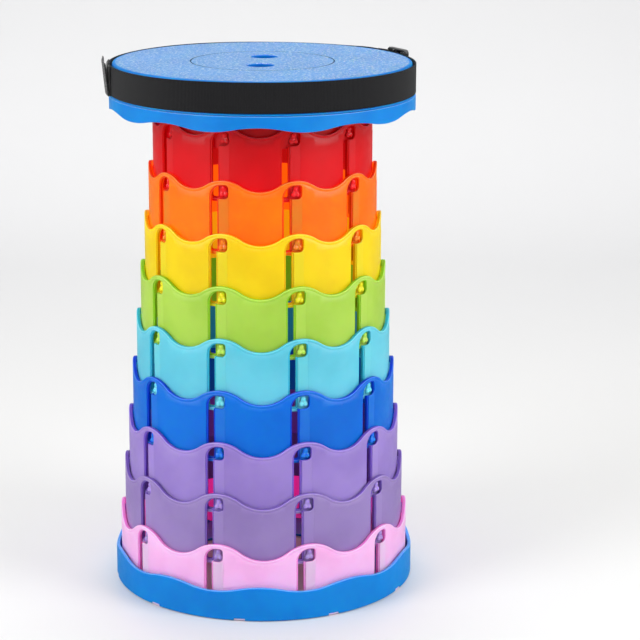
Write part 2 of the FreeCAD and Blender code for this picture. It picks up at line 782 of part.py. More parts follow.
def make_handle():
    """The handle: a loop of webbing that hangs down behind the seat."""
    body = new_body("carry_handle")
    droop = size("handle_droop")
    half_width = size("strap_width") / 2
    outer = size("handle_bow")
    inner = outer - size("strap_thickness")
    touch = STRAP_OUTSIDE + size("strap_gap")
    start = root(touch * touch - inner * inner) + half_width * sine(droop)
    sketch = new_sketch(body, "handle_outline", "XY_Plane")
    sketch.AttachmentOffset = Placement(Vector(0, 0, 0), Rotation(Vector(1, 0, 0), droop.number))
    bind(sketch, "AttachmentOffset.Rotation.Angle", droop)
    bind(sketch, "AttachmentOffset.Base.y", -start + half_width * sine(droop))
    bind(sketch, "AttachmentOffset.Base.z", STRAP_FOOT + half_width - half_width * cosine(droop))
    bend = -size("handle_reach") + outer
    add_outline(sketch, [
        (outer, Size(0)),
        (outer, bend, outer, True),
        (Size(0), bend - outer, outer, True),
        (-outer, bend),
        (-outer, Size(0)),
        (-inner, Size(0)),
        (-inner, bend, inner, False),
        (Size(0), bend - inner, inner, False),
        (inner, bend),
        (inner, Size(0)),
    ])
    pad(body, "handle_loop", sketch, size("strap_width"))
    place(body, turn=size("handle_angle"))
    return body


def make_all():
    """Every sub-part of the stool."""
    fill_sheet()
    items = [make_ring(number, name) for number, name in enumerate(RING_NAMES)]
    items += [make_base(), make_pads(), make_cover(), make_insert(), make_skirt(), make_collar()]
    items += [make_screws(), make_band(), make_glide(), make_bight(), make_handle()]
    hook_start = STRAP_OUTSIDE + size("strap_gap")
    items.append(make_closure("hook_patch", hook_start, size("patch_thickness"), Size(0), Size(0)))
    tail_start = hook_start + size("patch_thickness") + size("strap_gap")
    items.append(make_closure("strap_tail", tail_start, size("strap_thickness"), size("tail_rise"),
                              size("tail_lean")))
    return items


def check_and_write(items):
    """Refuses a failed object or shape, then writes one file for each sub-part."""
    document.recompute()
    for item in document.Objects:
        if "Invalid" in item.State or "Error" in item.State:
            raise RuntimeError(f"{item.Label} failed: {item.State}")
    os.makedirs("parts", exist_ok=True)
    for item in items:
        shape = item.Shape
        if shape.isNull() or not shape.isValid():
            raise RuntimeError(f"{item.Label} has no valid shape")
        shape.exportStep(f"parts/{item.Label}.step")
        print(item.Label, len(shape.Solids), round(shape.Volume / 1000, 2))


check_and_write(make_all())
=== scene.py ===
"""Collapsible telescopic stool: a grained seat with its strap, nine nesting rings and a foot ring.

Sizes are in millimetres until a mesh is made, and a mesh is in metres. The stool stands on the floor at
the origin, +Z is up, and angles are taken from its front (-Y) towards its right side (+X).
"""

import logging
import math
from dataclasses import dataclass, field
from enum import Enum
from typing import Callable, Iterable, Sequence

import bmesh
import bpy
from mathutils import Matrix, Vector
from mathutils.geometry import delaunay_2d_cdt


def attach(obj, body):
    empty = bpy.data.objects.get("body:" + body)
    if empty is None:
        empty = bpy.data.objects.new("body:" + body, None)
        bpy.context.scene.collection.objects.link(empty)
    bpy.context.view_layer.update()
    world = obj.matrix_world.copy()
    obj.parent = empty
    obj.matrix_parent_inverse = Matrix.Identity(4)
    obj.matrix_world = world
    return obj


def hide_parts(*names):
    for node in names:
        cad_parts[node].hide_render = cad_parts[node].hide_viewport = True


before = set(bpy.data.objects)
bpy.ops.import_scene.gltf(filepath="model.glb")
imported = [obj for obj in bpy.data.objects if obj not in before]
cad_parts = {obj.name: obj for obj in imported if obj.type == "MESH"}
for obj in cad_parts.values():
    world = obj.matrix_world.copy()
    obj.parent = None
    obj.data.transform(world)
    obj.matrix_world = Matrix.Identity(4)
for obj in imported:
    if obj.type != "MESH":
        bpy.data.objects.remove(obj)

MM = 0.001
UP = Vector((0, 0, 1))
LOG = logging.getLogger("stool")
Colour = tuple[float, float, float]
Flat = tuple[float, float]


class Hang(Enum):
    """Which way the crests of a scalloped rim point."""

    UP = 1
    DOWN = -1


class Weave(Enum):
    """How a piece of webbing is woven."""

    RIBBED = "ribbed"
    PILE = "pile"


@dataclass(frozen=True)
class StoolSizes:
    """Sizes that several sub-assemblies share."""

    columns: int = 10
    ring_radius: float = 92.7
    ring_step: float = 4.04
    ring_wall: float = 3.2
    ring_height: float = 60.9
    wave_depth: float = 8.1
    wave_growth: float = 0.58
    column_angle: float = 16.2
    column_twist: float = 0.22
    pin_drop: float = 9.8
    pin_rise: float = 8.1
    pad_thickness: float = 0.6
    stack_foot: float = 3.1
    seat_height: float = 450.0
    seat_plate: float = 3.2
    seat_radius: float = 127.3
    strap_width: float = 24.8
    strap_thickness: float = 1.2
    strap_gap: float = 0.3

    @property
    def sector(self) -> float:
        """Angle of one column."""
        return 360 / self.columns

    @property
    def pitch(self) -> float:
        """Height that a ring stands above the next one."""
        return self.ring_height - self.pin_drop - self.pin_rise

    @property
    def strap_foot(self) -> float:
        """Height of the webbing's lower edge."""
        return self.seat_height - self.strap_gap - self.strap_width

    @property
    def strap_outside(self) -> float:
        """Radius of the webbing's outside."""
        return self.seat_radius + self.strap_gap + self.strap_thickness

    def ring_outside(self, number: int) -> float:
        """Outside radius of a ring, counted from the top."""
        return self.ring_radius + self.ring_step * number

    def column(self, number: int) -> float:
        """Angle of the pockets of a ring, counted from the top."""
        return self.column_angle + self.column_twist * number

    def pin_side(self, radius: float) -> float:
        """Sideways place of a pin, which stands in the pocket of the ring around it."""
        return radius * math.sin(math.radians(self.column_twist))


SIZES = StoolSizes()
RING_NAMES = ("red", "orange", "yellow", "green", "cyan", "blue", "lavender", "purple", "pink")


def linear(colour: Colour) -> tuple[float, float, float, float]:
    """Turns a screen colour into the linear one that a shader takes.

    Args:
        colour: Red, green and blue from 0 to 255.

    Returns:
        Linear red, green, blue and full alpha.
    """
    parts = [c / 255 for c in colour]
    return tuple(p / 12.92 if p <= 0.04045 else ((p + 0.055) / 1.055) ** 2.4 for p in parts) + (1.0,)


def polar(radius: float, angle: float, height: float) -> Vector:
    """Place at a radius, an angle in degrees from the front and a height."""
    turn = math.radians(angle)
    return Vector((radius * math.sin(turn), -radius * math.cos(turn), height))


def on_wall(radius: float, x: float, z: float, depth: float) -> Vector:
    """Place on a round wall.

    Args:
        radius: Outside radius of the wall.
        x: Sideways place, taken on the wall's outside.
        z: Height.
        depth: Depth below the outside.

    Returns:
        The point, in millimetres.
    """
    return polar(radius - depth, math.degrees(math.asin(x / radius)), z)


def inside(place: Flat, outline: Sequence[Flat]) -> bool:
    """Whether a flat place lies inside a closed outline."""
    x, y = place
    found = False
    for number, (x1, y1) in enumerate(outline):
        x0, y0 = outline[number - 1]
        if (y0 > y) != (y1 > y) and x < (x1 - x0) * (y - y0) / (y1 - y0) + x0:
            found = not found
    return found


@dataclass
class Skin:
    """A surface as it is put together.

    Each point has a facing, (outwards, sideways, up) about the stool's axis, in which it is shaded.
    None leaves that to the faces around it.
    """

    points: list[Vector] = field(default_factory=list)
    facings: list[Vector] = field(default_factory=list)
    flats: list[Flat] = field(default_factory=list)
    faces: list[tuple[int, ...]] = field(default_factory=list)

    def add(self, point: Vector, facing: Sequence[float] | None = None, flat: Flat = (0.0, 0.0)) -> int:
        """Adds a point and returns its number."""
        self.points.append(point)
        self.facings.append(Vector(facing) if facing else Vector((0, 0, 0)))
        self.flats.append(flat)
        return len(self.points) - 1

    def bridge(self, first: Sequence[int], second: Sequence[int], closed: bool = False) -> None:
        """Joins two rows of as many points with a strip of faces."""
        count = len(first)
        for number in range(count if closed else count - 1):
            after = (number + 1) % count
            corners = (first[number], first[after], second[after], second[number])
            if len(set(corners)) > 2:
                self.faces.append(tuple(dict.fromkeys(corners)))

    def fill(self, rim: Sequence[int], holes: Sequence[Sequence[int]], seeds: Iterable[Flat],
             place: Callable[[float, float], tuple[Vector, Sequence[float]]], room: float = 1.0) -> None:
        """Fills a face with holes in it.

        Args:
            rim: Points of the outer outline, in order.
            holes: Points of each hole, in order.
            seeds: Flat places for points inside the face.
            place: Gives the point and the facing of a flat place.
            room: Least distance from a seed to an outline.
        """
        loops = [list(rim), *[list(hole) for hole in holes]]
        outlines = [[self.flats[n] for n in loop] for loop in loops]
        border = [spot for outline in outlines for spot in outline]
        numbers = [n for loop in loops for n in loop]
        for seed in seeds:
            if not inside(seed, outlines[0]) or any(inside(seed, hole) for hole in outlines[1:]):
                continue
            if min((seed[0] - x) ** 2 + (seed[1] - y) ** 2 for x, y in border) > room ** 2:
                point, facing = place(*seed)
                numbers.append(self.add(point, facing, seed))
        edges, start = [], 0
        for loop in loops:
            edges += [(start + n, start + (n + 1) % len(loop)) for n in range(len(loop))]
            start += len(loop)
        flats = [Vector(self.flats[n]) for n in numbers]
        spots, _, faces, sources, _, _ = delaunay_2d_cdt(flats, edges, [], 1, 1e-5)
        for number, spot in enumerate(spots):
            if not sources[number]:
                LOG.warning("an outline crosses itself near %.2f, %.2f", *spot)
                point, facing = place(*spot)
                sources[number] = [len(numbers)]
                numbers.append(self.add(point, facing, tuple(spot)))
        for face in faces:
            middle = sum((spots[n] for n in face), Vector((0, 0))) / len(face)
            if not any(inside(tuple(middle), hole) for hole in outlines[1:]):
                self.faces.append(tuple(numbers[sources[n][0]] for n in face))

    def mesh(self, name: str) -> bpy.types.Mesh:
        """Makes the mesh, in metres, with its facings kept on it."""
        mesh = bpy.data.meshes.new(name)
        mesh.from_pydata([point * MM for point in self.points], [], self.faces)
        mesh.attributes.new("facing", "FLOAT_VECTOR", "POINT")
        values = [part for facing in self.facings for part in facing]
        mesh.attributes["facing"].data.foreach_set("vector", values)
        return mesh


def seed_grid(low: Flat, high: Flat, step: Flat) -> list[Flat]:
    """Flat places in rows, every other row shifted by half a step."""
    places = []
    rows = max(1, round((high[1] - low[1]) / step[1]))
    columns = max(1, round((high[0] - low[0]) / step[0]))
    for row in range(1, rows):
        for column in range(columns + 1):
            x = low[0] + (high[0] - low[0]) * (column + 0.5 * (row % 2)) / columns
            places.append((x, low[1] + (high[1] - low[1]) * row / rows))
    return places


def circle_places(radius: float, count: int, centre: Flat = (0.0, 0.0)) -> list[Flat]:
    """Flat places around a circle."""
    return [(centre[0] + radius * math.cos(2 * math.pi * n / count),
             centre[1] + radius * math.sin(2 * math.pi * n / count)) for n in range(count)]


def smooth(mesh: bpy.types.Mesh) -> None:
    """Welds a mesh, turns its faces outwards and shades each point by its facing."""
    work = bmesh.new()
    work.from_mesh(mesh)
    bmesh.ops.remove_doubles(work, verts=work.verts, dist=0.004 * MM)
    bmesh.ops.recalc_face_normals(work, faces=work.faces)
    for face in work.faces:
        face.smooth = True
    work.to_mesh(mesh)
    work.free()
    facing = mesh.attributes.get("facing")
    if facing is None:
        return
    normals = []
    for vertex, item in zip(mesh.vertices, facing.data):
        outwards, sideways, up = item.vector
        if item.vector.length < 0.5:
            normals.append((0.0, 0.0, 0.0))
            continue
        reach = math.hypot(vertex.co.x, vertex.co.y) or 1.0
        x, y = vertex.co.x / reach, vertex.co.y / reach
        normals.append(Vector((outwards * x - sideways * y, outwards * y + sideways * x, up)).normalized())
    mesh.normals_split_custom_set_from_vertices(normals)
    mesh.attributes.remove(mesh.attributes["facing"])


class Graph:
    """Short ways to add nodes to a tree."""

    def __init__(self, tree: bpy.types.NodeTree) -> None:
        """Takes the tree that gets the nodes."""
        self.nodes = tree.nodes
        self.links = tree.links

    def node(self, kind: str, **settings: object) -> bpy.types.Node:
        """Adds a node with its settings."""
        node = self.nodes.new(kind)
        for key, value in settings.items():
            setattr(node, key, value)
        return node

    def feed(self, socket: bpy.types.NodeSocket, value: object) -> None:
        """Gives a socket a link or a plain value."""
        if isinstance(value, bpy.types.NodeSocket):
            self.links.new(value, socket)
        else:
            socket.default_value = value

    def maths(self, operation: str, *values: object) -> bpy.types.NodeSocket:
        """Adds a sum, and returns its result."""
        node = self.node("ShaderNodeMath", operation=operation)
        for socket, value in zip(node.inputs, values):
            self.feed(socket, value)
        return node.outputs[0]

    def parts(self, vector: bpy.types.NodeSocket) -> bpy.types.bpy_prop_collection:
        """The X, Y and Z of a vector."""
        node = self.node("ShaderNodeSeparateXYZ")
        self.feed(node.inputs[0], vector)
        return node.outputs


class Tree(Graph):
    """A geometry node tree that repeats a shape, with named inputs for its sizes."""

    def __init__(self, name: str) -> None:
        """Starts the tree with its geometry and finish inputs."""
        self.tree = bpy.data.node_groups.new(name, "GeometryNodeTree")
        super().__init__(self.tree)
        self.sockets: dict[str, str] = {}
        self.socket("Geometry", "NodeSocketGeometry")
        self.tree.interface.new_socket("Geometry", in_out="OUTPUT", socket_type="NodeSocketGeometry")
        self.enter = self.node("NodeGroupInput")
        self.leave = self.node("NodeGroupOutput")

    def socket(self, name: str, kind: str) -> None:
        """Adds a named input."""
        item = self.tree.interface.new_socket(name, in_out="INPUT", socket_type=kind)
        self.sockets[name] = item.identifier

    def close(self, geometry: bpy.types.NodeSocket) -> None:
        """Ends the tree in plain geometry with its finish."""
        realize = self.node("GeometryNodeRealizeInstances")
        paint = self.node("GeometryNodeSetMaterial")
        self.feed(realize.inputs[0], geometry)
        self.feed(paint.inputs["Geometry"], realize.outputs[0])
        self.feed(paint.inputs["Material"], self.enter.outputs["Material"])
        self.feed(self.leave.inputs[0], paint.outputs[0])


class AroundTree(Tree):
    """Copies of a shape, evenly around the stool's axis."""

    def __init__(self) -> None:
        """Builds the tree: points at the axis, each with its own turn."""
        super().__init__("around_the_axis")
        self.socket("Count", "NodeSocketInt")
        self.socket("Turn", "NodeSocketFloat")
        self.socket("Material", "NodeSocketMaterial")
        points = self.node("GeometryNodePoints")
        index = self.node("GeometryNodeInputIndex")
        step = self.maths("DIVIDE", math.tau, self.enter.outputs["Count"])
        turn = self.maths("MULTIPLY", index.outputs[0], step)
        turn = self.maths("ADD", turn, self.enter.outputs["Turn"])
        euler = self.node("ShaderNodeCombineXYZ")
        copies = self.node("GeometryNodeInstanceOnPoints")
        self.feed(points.inputs["Count"], self.enter.outputs["Count"])
        self.feed(euler.inputs["Z"], turn)
        self.feed(copies.inputs["Points"], points.outputs[0])
        self.feed(copies.inputs["Instance"], self.enter.outputs["Geometry"])
        self.feed(copies.inputs["Rotation"], euler.outputs[0])
        self.close(copies.outputs[0])


def grow(mesh: bpy.types.Mesh, tree: Tree, name: str, **values: object) -> bpy.types.Mesh:
    """Runs a mesh through a tree and returns the plain mesh that comes out.

    Args:
        mesh: What the tree starts from.
        tree: The tree.
        name: Name of the new mesh.
        **values: The tree's named inputs.

    Returns:
        The new mesh.
    """
    carrier = bpy.data.objects.new(name + "_source", mesh)
    bpy.context.scene.collection.objects.link(carrier)
    modifier = carrier.modifiers.new("grow", "NODES")
    modifier.node_group = tree.tree
    for key, value in values.items():
        modifier[tree.sockets[key]] = value
    graph = bpy.context.evaluated_depsgraph_get()
    grown = bpy.data.meshes.new_from_object(
        carrier.evaluated_get(graph), preserve_all_data_layers=True, depsgraph=graph)
    carrier.modifiers.remove(modifier)
    bpy.data.objects.remove(carrier)
    bpy.data.meshes.remove(mesh)
    grown.name = name
    return grown


def new_piece(name: str, mesh: bpy.types.Mesh, body: str, slot: str, *nodes: str) -> bpy.types.Object:
    """Puts a finished mesh in the scene, on its body.

    Args:
        name: Name of the piece.
        mesh: Its mesh, with its material.
        body: The body that it moves with.
        slot: The finish that it takes; not used.
        *nodes: Nodes that it stands for.

    Returns:
        The new object.
    """
    piece = bpy.data.objects.new(name, mesh)
    bpy.context.scene.collection.objects.link(piece)
    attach(piece, body)
    if nodes:
        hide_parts(*nodes)
    LOG.info("%s: %d faces on %s", name, len(mesh.polygons), body)
    return piece


class Shader(Graph):
    """A material with short ways to add nodes."""

    def __init__(self, name: str) -> None:
        """Starts a material with its surface shader."""
        self.material = bpy.data.materials.new(name)
        self.material.use_nodes = True
        super().__init__(self.material.node_tree)
        self.surface = self.nodes["Principled BSDF"]

    def ramp(self, value: bpy.types.NodeSocket, low: float, high: float, start: float = 0.0,
             end: float = 1.0) -> bpy.types.NodeSocket:
        """Maps a range smoothly onto another."""
        node = self.node("ShaderNodeMapRange", interpolation_type="SMOOTHSTEP")
        keys = ("Value", "From Min", "From Max", "To Min", "To Max")
        for key, part in zip(keys, (value, low, high, start, end)):
            self.feed(node.inputs[key], part)
        return node.outputs["Result"]

    def place(self) -> bpy.types.NodeSocket:
        """The point's place, in metres."""
        return self.node("ShaderNodeTexCoord").outputs["Object"]

    def noise(self, scale: float, detail: float = 2.0, vector: bpy.types.NodeSocket | None = None,
              rough: float = 0.5) -> bpy.types.NodeSocket:
        """Noise at so many waves in a metre."""
        node = self.node("ShaderNodeTexNoise")
        self.feed(node.inputs["Vector"], vector or self.place())
        self.feed(node.inputs["Scale"], scale)
        self.feed(node.inputs["Detail"], detail)
        self.feed(node.inputs["Roughness"], rough)
        return node.outputs["Fac"]

    def blend(self, share: object, first: object, second: object) -> bpy.types.NodeSocket:
        """A mixture of two colours."""
        node = self.node("ShaderNodeMix", data_type="RGBA")
        self.feed(node.inputs[0], share)
        self.feed(node.inputs[6], first)
        self.feed(node.inputs[7], second)
        return node.outputs[2]

    def bump(self, height: bpy.types.NodeSocket, distance: float, strength: float = 1.0,
             before: bpy.types.NodeSocket | None = None) -> bpy.types.NodeSocket:
        """Raises the surface by a height, in metres."""
        node = self.node("ShaderNodeBump")
        self.feed(node.inputs["Height"], height)
        self.feed(node.inputs["Distance"], distance)
        self.feed(node.inputs["Strength"], strength)
        if before is not None:
            self.feed(node.inputs["Normal"], before)
        return node.outputs["Normal"]

    def finish(self, **values: object) -> bpy.types.Material:
        """Feeds the surface's own sockets, and returns the material."""
        for key, value in values.items():
            self.feed(self.surface.inputs[key.replace("_", " ")], value)
        return self.material


def lifted(colour: tuple[float, ...], level: float, rise: float) -> tuple[float, float, float, float]:
    """A linear colour times a level, with white added."""
    return tuple(min(1.0, c * level + rise) for c in colour[:3]) + (1.0,)


def deepened(colour: tuple[float, ...], power: float, level: float) -> tuple[float, float, float, float]:
    """A linear colour made fuller, with its brightest part kept at a level of itself."""
    top = max(colour[:3])
    return tuple(top * level * (c / top) ** power for c in colour[:3]) + (1.0,)


@dataclass(frozen=True)
class Plastic:
    """Moulded plastic that lets some light through, with a painted highlight on the edges that face up.

    With a radius given it has painted shade, a fuller and darker colour, in recesses and on a ring's inside,
    and its pins are glossier with a painted highlight. With a column given it shows a paler strip, painted
    light coming through where the wall is thin over the runner, and the mould's line beside it. The colour in
    through is painted as a glow on a ring's inside, standing in for the daylight that reaches it through its
    wall.
    """

    name: str
    colour: Colour
    roughness: float = 0.34
    translucency: float = 0.8
    painted_edge_highlight: float = 0.8
    radius: float | None = None
    column: float | None = None
    through: Colour | None = None

    def material(self) -> bpy.types.Material:
        """Makes the material."""
        return self.shader().material

    def shader(self) -> Shader:
        """Builds the nodes: flow marks in the colour, uneven gloss, a fine skin and the mould's marks."""
        shader = Shader(self.name)
        colour = linear(self.colour)
        flow = shader.ramp(shader.noise(22.0, 3.0), 0.35, 0.65)
        face = shader.blend(flow, deepened(colour, 1.05, 0.95), deepened(colour, 0.97, 1.04))
        normal = shader.bump(shader.noise(2600.0, 2.0), 0.015 * MM, 0.5)
        normal = shader.bump(shader.noise(45.0, 1.0), 0.1 * MM, 0.6, normal)
        if self.column is not None:
            across = self.across(shader)
            # Painted light: a paler strip over the runner, where light comes through the thin wall.
            strip = shader.maths("MULTIPLY", shader.ramp(across, -4.6, -3.6), shader.ramp(across, 4.9, 4.1))
            face = shader.blend(shader.maths("MULTIPLY", strip, 0.75), face, lifted(colour, 1.06, 0.015))
            line = shader.ramp(shader.maths("ABSOLUTE", shader.maths("SUBTRACT", across, 4.8)), 0.0, 0.28)
            normal = shader.bump(line, 0.12 * MM, 1.0, normal)
        # Painted highlight: faces that point up are made paler.
        painted_top_highlight = shader.parts(shader.node("ShaderNodeNewGeometry").outputs["Normal"])["Z"]
        painted_top_highlight = shader.ramp(painted_top_highlight, 0.1, 0.8, 0.0, self.painted_edge_highlight)
        face = shader.blend(painted_top_highlight, face, lifted(colour, 1.15, 0.14))
        low, high = self.roughness - 0.03, self.roughness + 0.05
        gloss = shader.ramp(shader.noise(160.0, 4.0), 0.3, 0.7, low, high)
        if self.radius is not None:
            reach = self.reach(shader)
            # Painted shade: surfaces that lie deeper than the wall's outside, in recesses and on the ring's
            # inside, get a fuller, darker colour.
            depth = shader.ramp(reach, (self.radius - 0.15) * MM, (self.radius - 0.75) * MM)
            face = shader.blend(depth, face, deepened(colour, 1.7, 0.9))
            pin = shader.ramp(reach, (self.radius + 0.3) * MM, (self.radius + 0.8) * MM)
            gloss = shader.maths("MULTIPLY", gloss, shader.maths("MULTIPLY_ADD", pin, -0.55, 1.0))
            # Painted highlight: the pins' colour is made paler, beside their lower roughness.
            face = shader.blend(shader.maths("MULTIPLY", pin, 0.8), face, lifted(colour, 1.25, 0.02))
        if self.radius is not None and self.through is not None:
            inner = (self.radius - SIZES.ring_wall) * MM
            # Painted glow: the ring's inside emits the through colour, standing in for daylight that comes
            # through the wall.
            painted_glow = shader.ramp(self.reach(shader), inner + 0.5 * MM, inner + 0.2 * MM, 0.0, 0.72)
            shader.finish(Emission_Color=linear(self.through), Emission_Strength=painted_glow)
        full = tuple(max(0.12, c) for c in colour[:3])
        shader.finish(Base_Color=face, Roughness=gloss, Normal=normal, Specular_IOR_Level=0.3,
                      Subsurface_Weight=self.translucency, Subsurface_Radius=full, Subsurface_Scale=6.0 * MM)
        return shader

    @staticmethod
    def reach(shader: Shader) -> bpy.types.NodeSocket:
        """Distance from the stool's axis, in metres."""
        flat = shader.node("ShaderNodeVectorMath", operation="MULTIPLY")
        shader.feed(flat.inputs[0], shader.place())
        flat.inputs[1].default_value = (1.0, 1.0, 0.0)
        length = shader.node("ShaderNodeVectorMath", operation="LENGTH")
        shader.feed(length.inputs[0], flat.outputs[0])
        return length.outputs["Value"]

    def across(self, shader: Shader) -> bpy.types.NodeSocket:
        """Sideways distance from the nearest pocket's middle, in millimetres."""
        parts = shader.parts(shader.place())
        angle = shader.maths("ARCTAN2", parts["X"], shader.maths("MULTIPLY", parts["Y"], -1.0))
        angle = shader.maths("SUBTRACT", angle, math.radians(self.column))
        share = shader.maths("DIVIDE", angle, math.radians(SIZES.sector))
        share = shader.maths("FRACT", shader.maths("ADD", share, 20.5))
        width = math.radians(SIZES.sector) * (self.radius or SIZES.seat_radius)
        return shader.maths("MULTIPLY", shader.maths("SUBTRACT", share, 0.5), width)


@dataclass(frozen=True)
class GrainedPlastic(Plastic):
    """Moulded plastic with a pebbled top, with a painted sheen and glints on it, that ends in a smooth edge."""

    grain_radius: float = 123.2
    grain_foot: float = 449.5
    grain_pitch: float = 2.0
    grain_depth: float = 0.35
    gap_radius: float = 60.2

    def shader(self) -> Shader:
        """Adds rounded pebbles on the flat top, with a painted sheen that makes them paler where they would
        catch the light, and a painted shadow line along the gap around the disc.
        """
        shader = super().shader()
        place = shader.place()
        warp = shader.node("ShaderNodeTexNoise")
        shader.feed(warp.inputs["Vector"], place)
        shader.feed(warp.inputs["Scale"], 420.0)
        shift = shader.node("ShaderNodeVectorMath", operation="MULTIPLY_ADD")
        shader.feed(shift.inputs[0], warp.outputs["Color"])
        shift.inputs[1].default_value = (0.0012, 0.0012, 0.0)
        shader.feed(shift.inputs[2], place)
        cells = shader.node("ShaderNodeTexVoronoi", feature="SMOOTH_F1")
        shader.feed(cells.inputs["Vector"], shift.outputs[0])
        shader.feed(cells.inputs["Scale"], 1000.0 / self.grain_pitch)
        shader.feed(cells.inputs["Smoothness"], 0.4)
        pebble = shader.ramp(cells.outputs["Distance"], 0.1, 0.75, 1.0, 0.0)
        area = shader.ramp(self.reach(shader), self.grain_radius * MM, (self.grain_radius - 0.7) * MM)
        top = shader.ramp(shader.parts(place)["Z"], (self.grain_foot - 0.3) * MM, self.grain_foot * MM)
        area = shader.maths("MULTIPLY", area, top)
        height = shader.maths("MULTIPLY", pebble, area)
        # Painted sheen and glints: pebble tops are made paler in scattered spots, standing in for light caught
        # on the grain.
        painted_glints = shader.ramp(shader.noise(360.0, 3.0, place, 0.8), 0.47, 0.55)
        painted_glints = shader.maths("MULTIPLY", painted_glints, pebble)
        painted_sheen = shader.maths("MULTIPLY_ADD", painted_glints, 0.95, 0.2)
        surface = shader.surface.inputs
        face = surface["Base Color"].links[0].from_socket
        pale = linear((206, 222, 240))
        face = shader.blend(shader.maths("MULTIPLY", painted_sheen, area), face, pale)
        # Painted shadow line: a dark band along the gap between the cover and the disc.
        gap = shader.maths("ABSOLUTE", shader.maths("SUBTRACT", self.reach(shader), self.gap_radius * MM))
        gap = shader.maths("MULTIPLY", shader.ramp(gap, 0.75 * MM, 0.35 * MM, 0.0, 0.9), top)
        normal = shader.bump(height, self.grain_depth * MM, 0.9, surface["Normal"].links[0].from_socket)
        shader.finish(Base_Color=shader.blend(gap, face, linear((8, 34, 84))), Normal=normal)
        return shader


@dataclass(frozen=True)
class Fabric:
    """Woven webbing or the pile of a hook-and-loop patch, patterned along its own length."""

    name: str
    colour: Colour
    weave: Weave = Weave.RIBBED
    pitch: float = 1.25

    def material(self) -> bpy.types.Material:
        """Makes the material: ribs across the webbing with a fine twill, or a fuzzy pile."""
        shader = Shader(self.name)
        cloth = shader.node("ShaderNodeUVMap", uv_map="cloth").outputs[0]
        parts = shader.parts(cloth)
        along, across = parts["X"], parts["Y"]
        colour = linear(self.colour)
        if self.weave is Weave.RIBBED:
            height = self.ribs(shader, along, across)
            share = shader.maths("MULTIPLY", height, shader.noise(900.0, 3.0, cloth))
            # Painted shade: the paler threads fade out near the webbing's edges, so the edges are darker.
            edge = shader.ramp(shader.maths("ABSOLUTE", across), 11.2 * MM, 11.9 * MM, 1.0, 0.1)
            share = shader.maths("MULTIPLY", share, edge)
            distance, rough, sheen = 0.28 * MM, 0.62, 0.12
        else:
            height = shader.noise(1500.0, 6.0, cloth, 0.7)
            share = shader.ramp(height, 0.45, 0.7)
            distance, rough, sheen = 0.9 * MM, 0.85, 0.5
        face = shader.blend(share, colour, lifted(colour, 2.2, 0.008))
        return shader.finish(Base_Color=face, Normal=shader.bump(height, distance), Roughness=rough,
                             Sheen_Weight=sheen, Sheen_Roughness=0.4, Specular_IOR_Level=0.2)

    def ribs(self, shader: Shader, along: bpy.types.NodeSocket,
             across: bpy.types.NodeSocket) -> bpy.types.NodeSocket:
        """Ribs across the webbing, each a row of slanting threads."""
        turn = math.tau / (self.pitch * MM)
        rib = shader.maths("SINE", shader.maths("MULTIPLY", along, turn))
        rib = shader.maths("MULTIPLY_ADD", rib, 0.5, 0.5)
        slant = shader.maths("ADD", shader.maths("MULTIPLY", along, turn * 2),
                             shader.maths("MULTIPLY", across, turn * 1.6))
        thread = shader.maths("MULTIPLY_ADD", shader.maths("SINE", slant), 0.5, 0.5)
        return shader.maths("ADD", shader.maths("MULTIPLY", rib, 0.6), shader.maths("MULTIPLY", thread, 0.4))


@dataclass(frozen=True)
class Metal:
    """Plated steel of the screws."""

    name: str
    colour: Colour

    def material(self) -> bpy.types.Material:
        """Makes the material: a grey metal with an uneven polish."""
        shader = Shader(self.name)
        colour = linear(self.colour)
        face = shader.blend(shader.noise(500.0, 4.0), lifted(colour, 0.8, 0.0), colour)
        gloss = shader.ramp(shader.noise(900.0, 3.0), 0.3, 0.7, 0.24, 0.42)
        return shader.finish(Base_Color=face, Roughness=gloss, Metallic=1.0)


@dataclass(frozen=True)
class Rubber:
    """Soft rubber of the pads."""

    name: str
    colour: Colour

    def material(self) -> bpy.types.Material:
        """Makes the material: matt, with a fine grain and dust in it."""
        shader = Shader(self.name)
        colour = linear(self.colour)
        face = shader.blend(shader.noise(120.0, 3.0), colour, lifted(colour, 1.5, 0.01))
        grain = shader.bump(shader.noise(1800.0, 3.0), 0.05 * MM, 0.7)
        return shader.finish(Base_Color=face, Normal=grain, Roughness=0.8, Specular_IOR_Level=0.3)


@dataclass(frozen=True)
class Row:
    """One row of points that carries a surface around a rim.

    depth is below the wall's outside, rise is past the rim's line, and the rest says how far the row
    faces outwards and away from the line.
    """

    depth: float
    rise: float
    outwards: float
    away: float


def rounded(depth: float, rise: float, radius: float, start: float, end: float, steps: int = 4) -> list[Row]:
    """Rows around an edge.

    Args:
        depth: Depth of the rounding's centre.
        rise: Rise of the rounding's centre.
        radius: Radius of the rounding.
        start: First direction in degrees, where 0 faces outwards and 90 away from the line.
        end: Last direction in degrees.
        steps: Steps between them.

    Returns:
        The rows, from start to end.
    """
    rows = []
    for number in range(steps + 1):
        turn = math.radians(start + (end - start) * number / steps)
        out, away = math.cos(turn), math.sin(turn)
        rows.append(Row(depth - radius * out, rise + radius * away, out, away))
    return rows


def rim_rows(wall: float, outer: float, inner: float) -> list[Row]:
    """Rows over the rim of a plain wall, from its outside to its inside."""
    return rounded(outer, -outer, outer, 0, 90) + rounded(wall - inner, -inner, inner, 90, 180, 3)


def groove_rows(drop: float, width: float, depth: float) -> list[Row]:
    """Rows of a fine groove that follows a rim on the wall's outside."""
    return [Row(0.0, -drop - width / 2, 0.95, 0.3), Row(depth, -drop - width * 0.12, 0.95, 0.3),
            Row(depth, -drop + width * 0.12, 0.95, -0.3), Row(0.0, -drop + width / 2, 0.95, -0.3)]


Line = Callable[[float, float], tuple[float, float, float]]


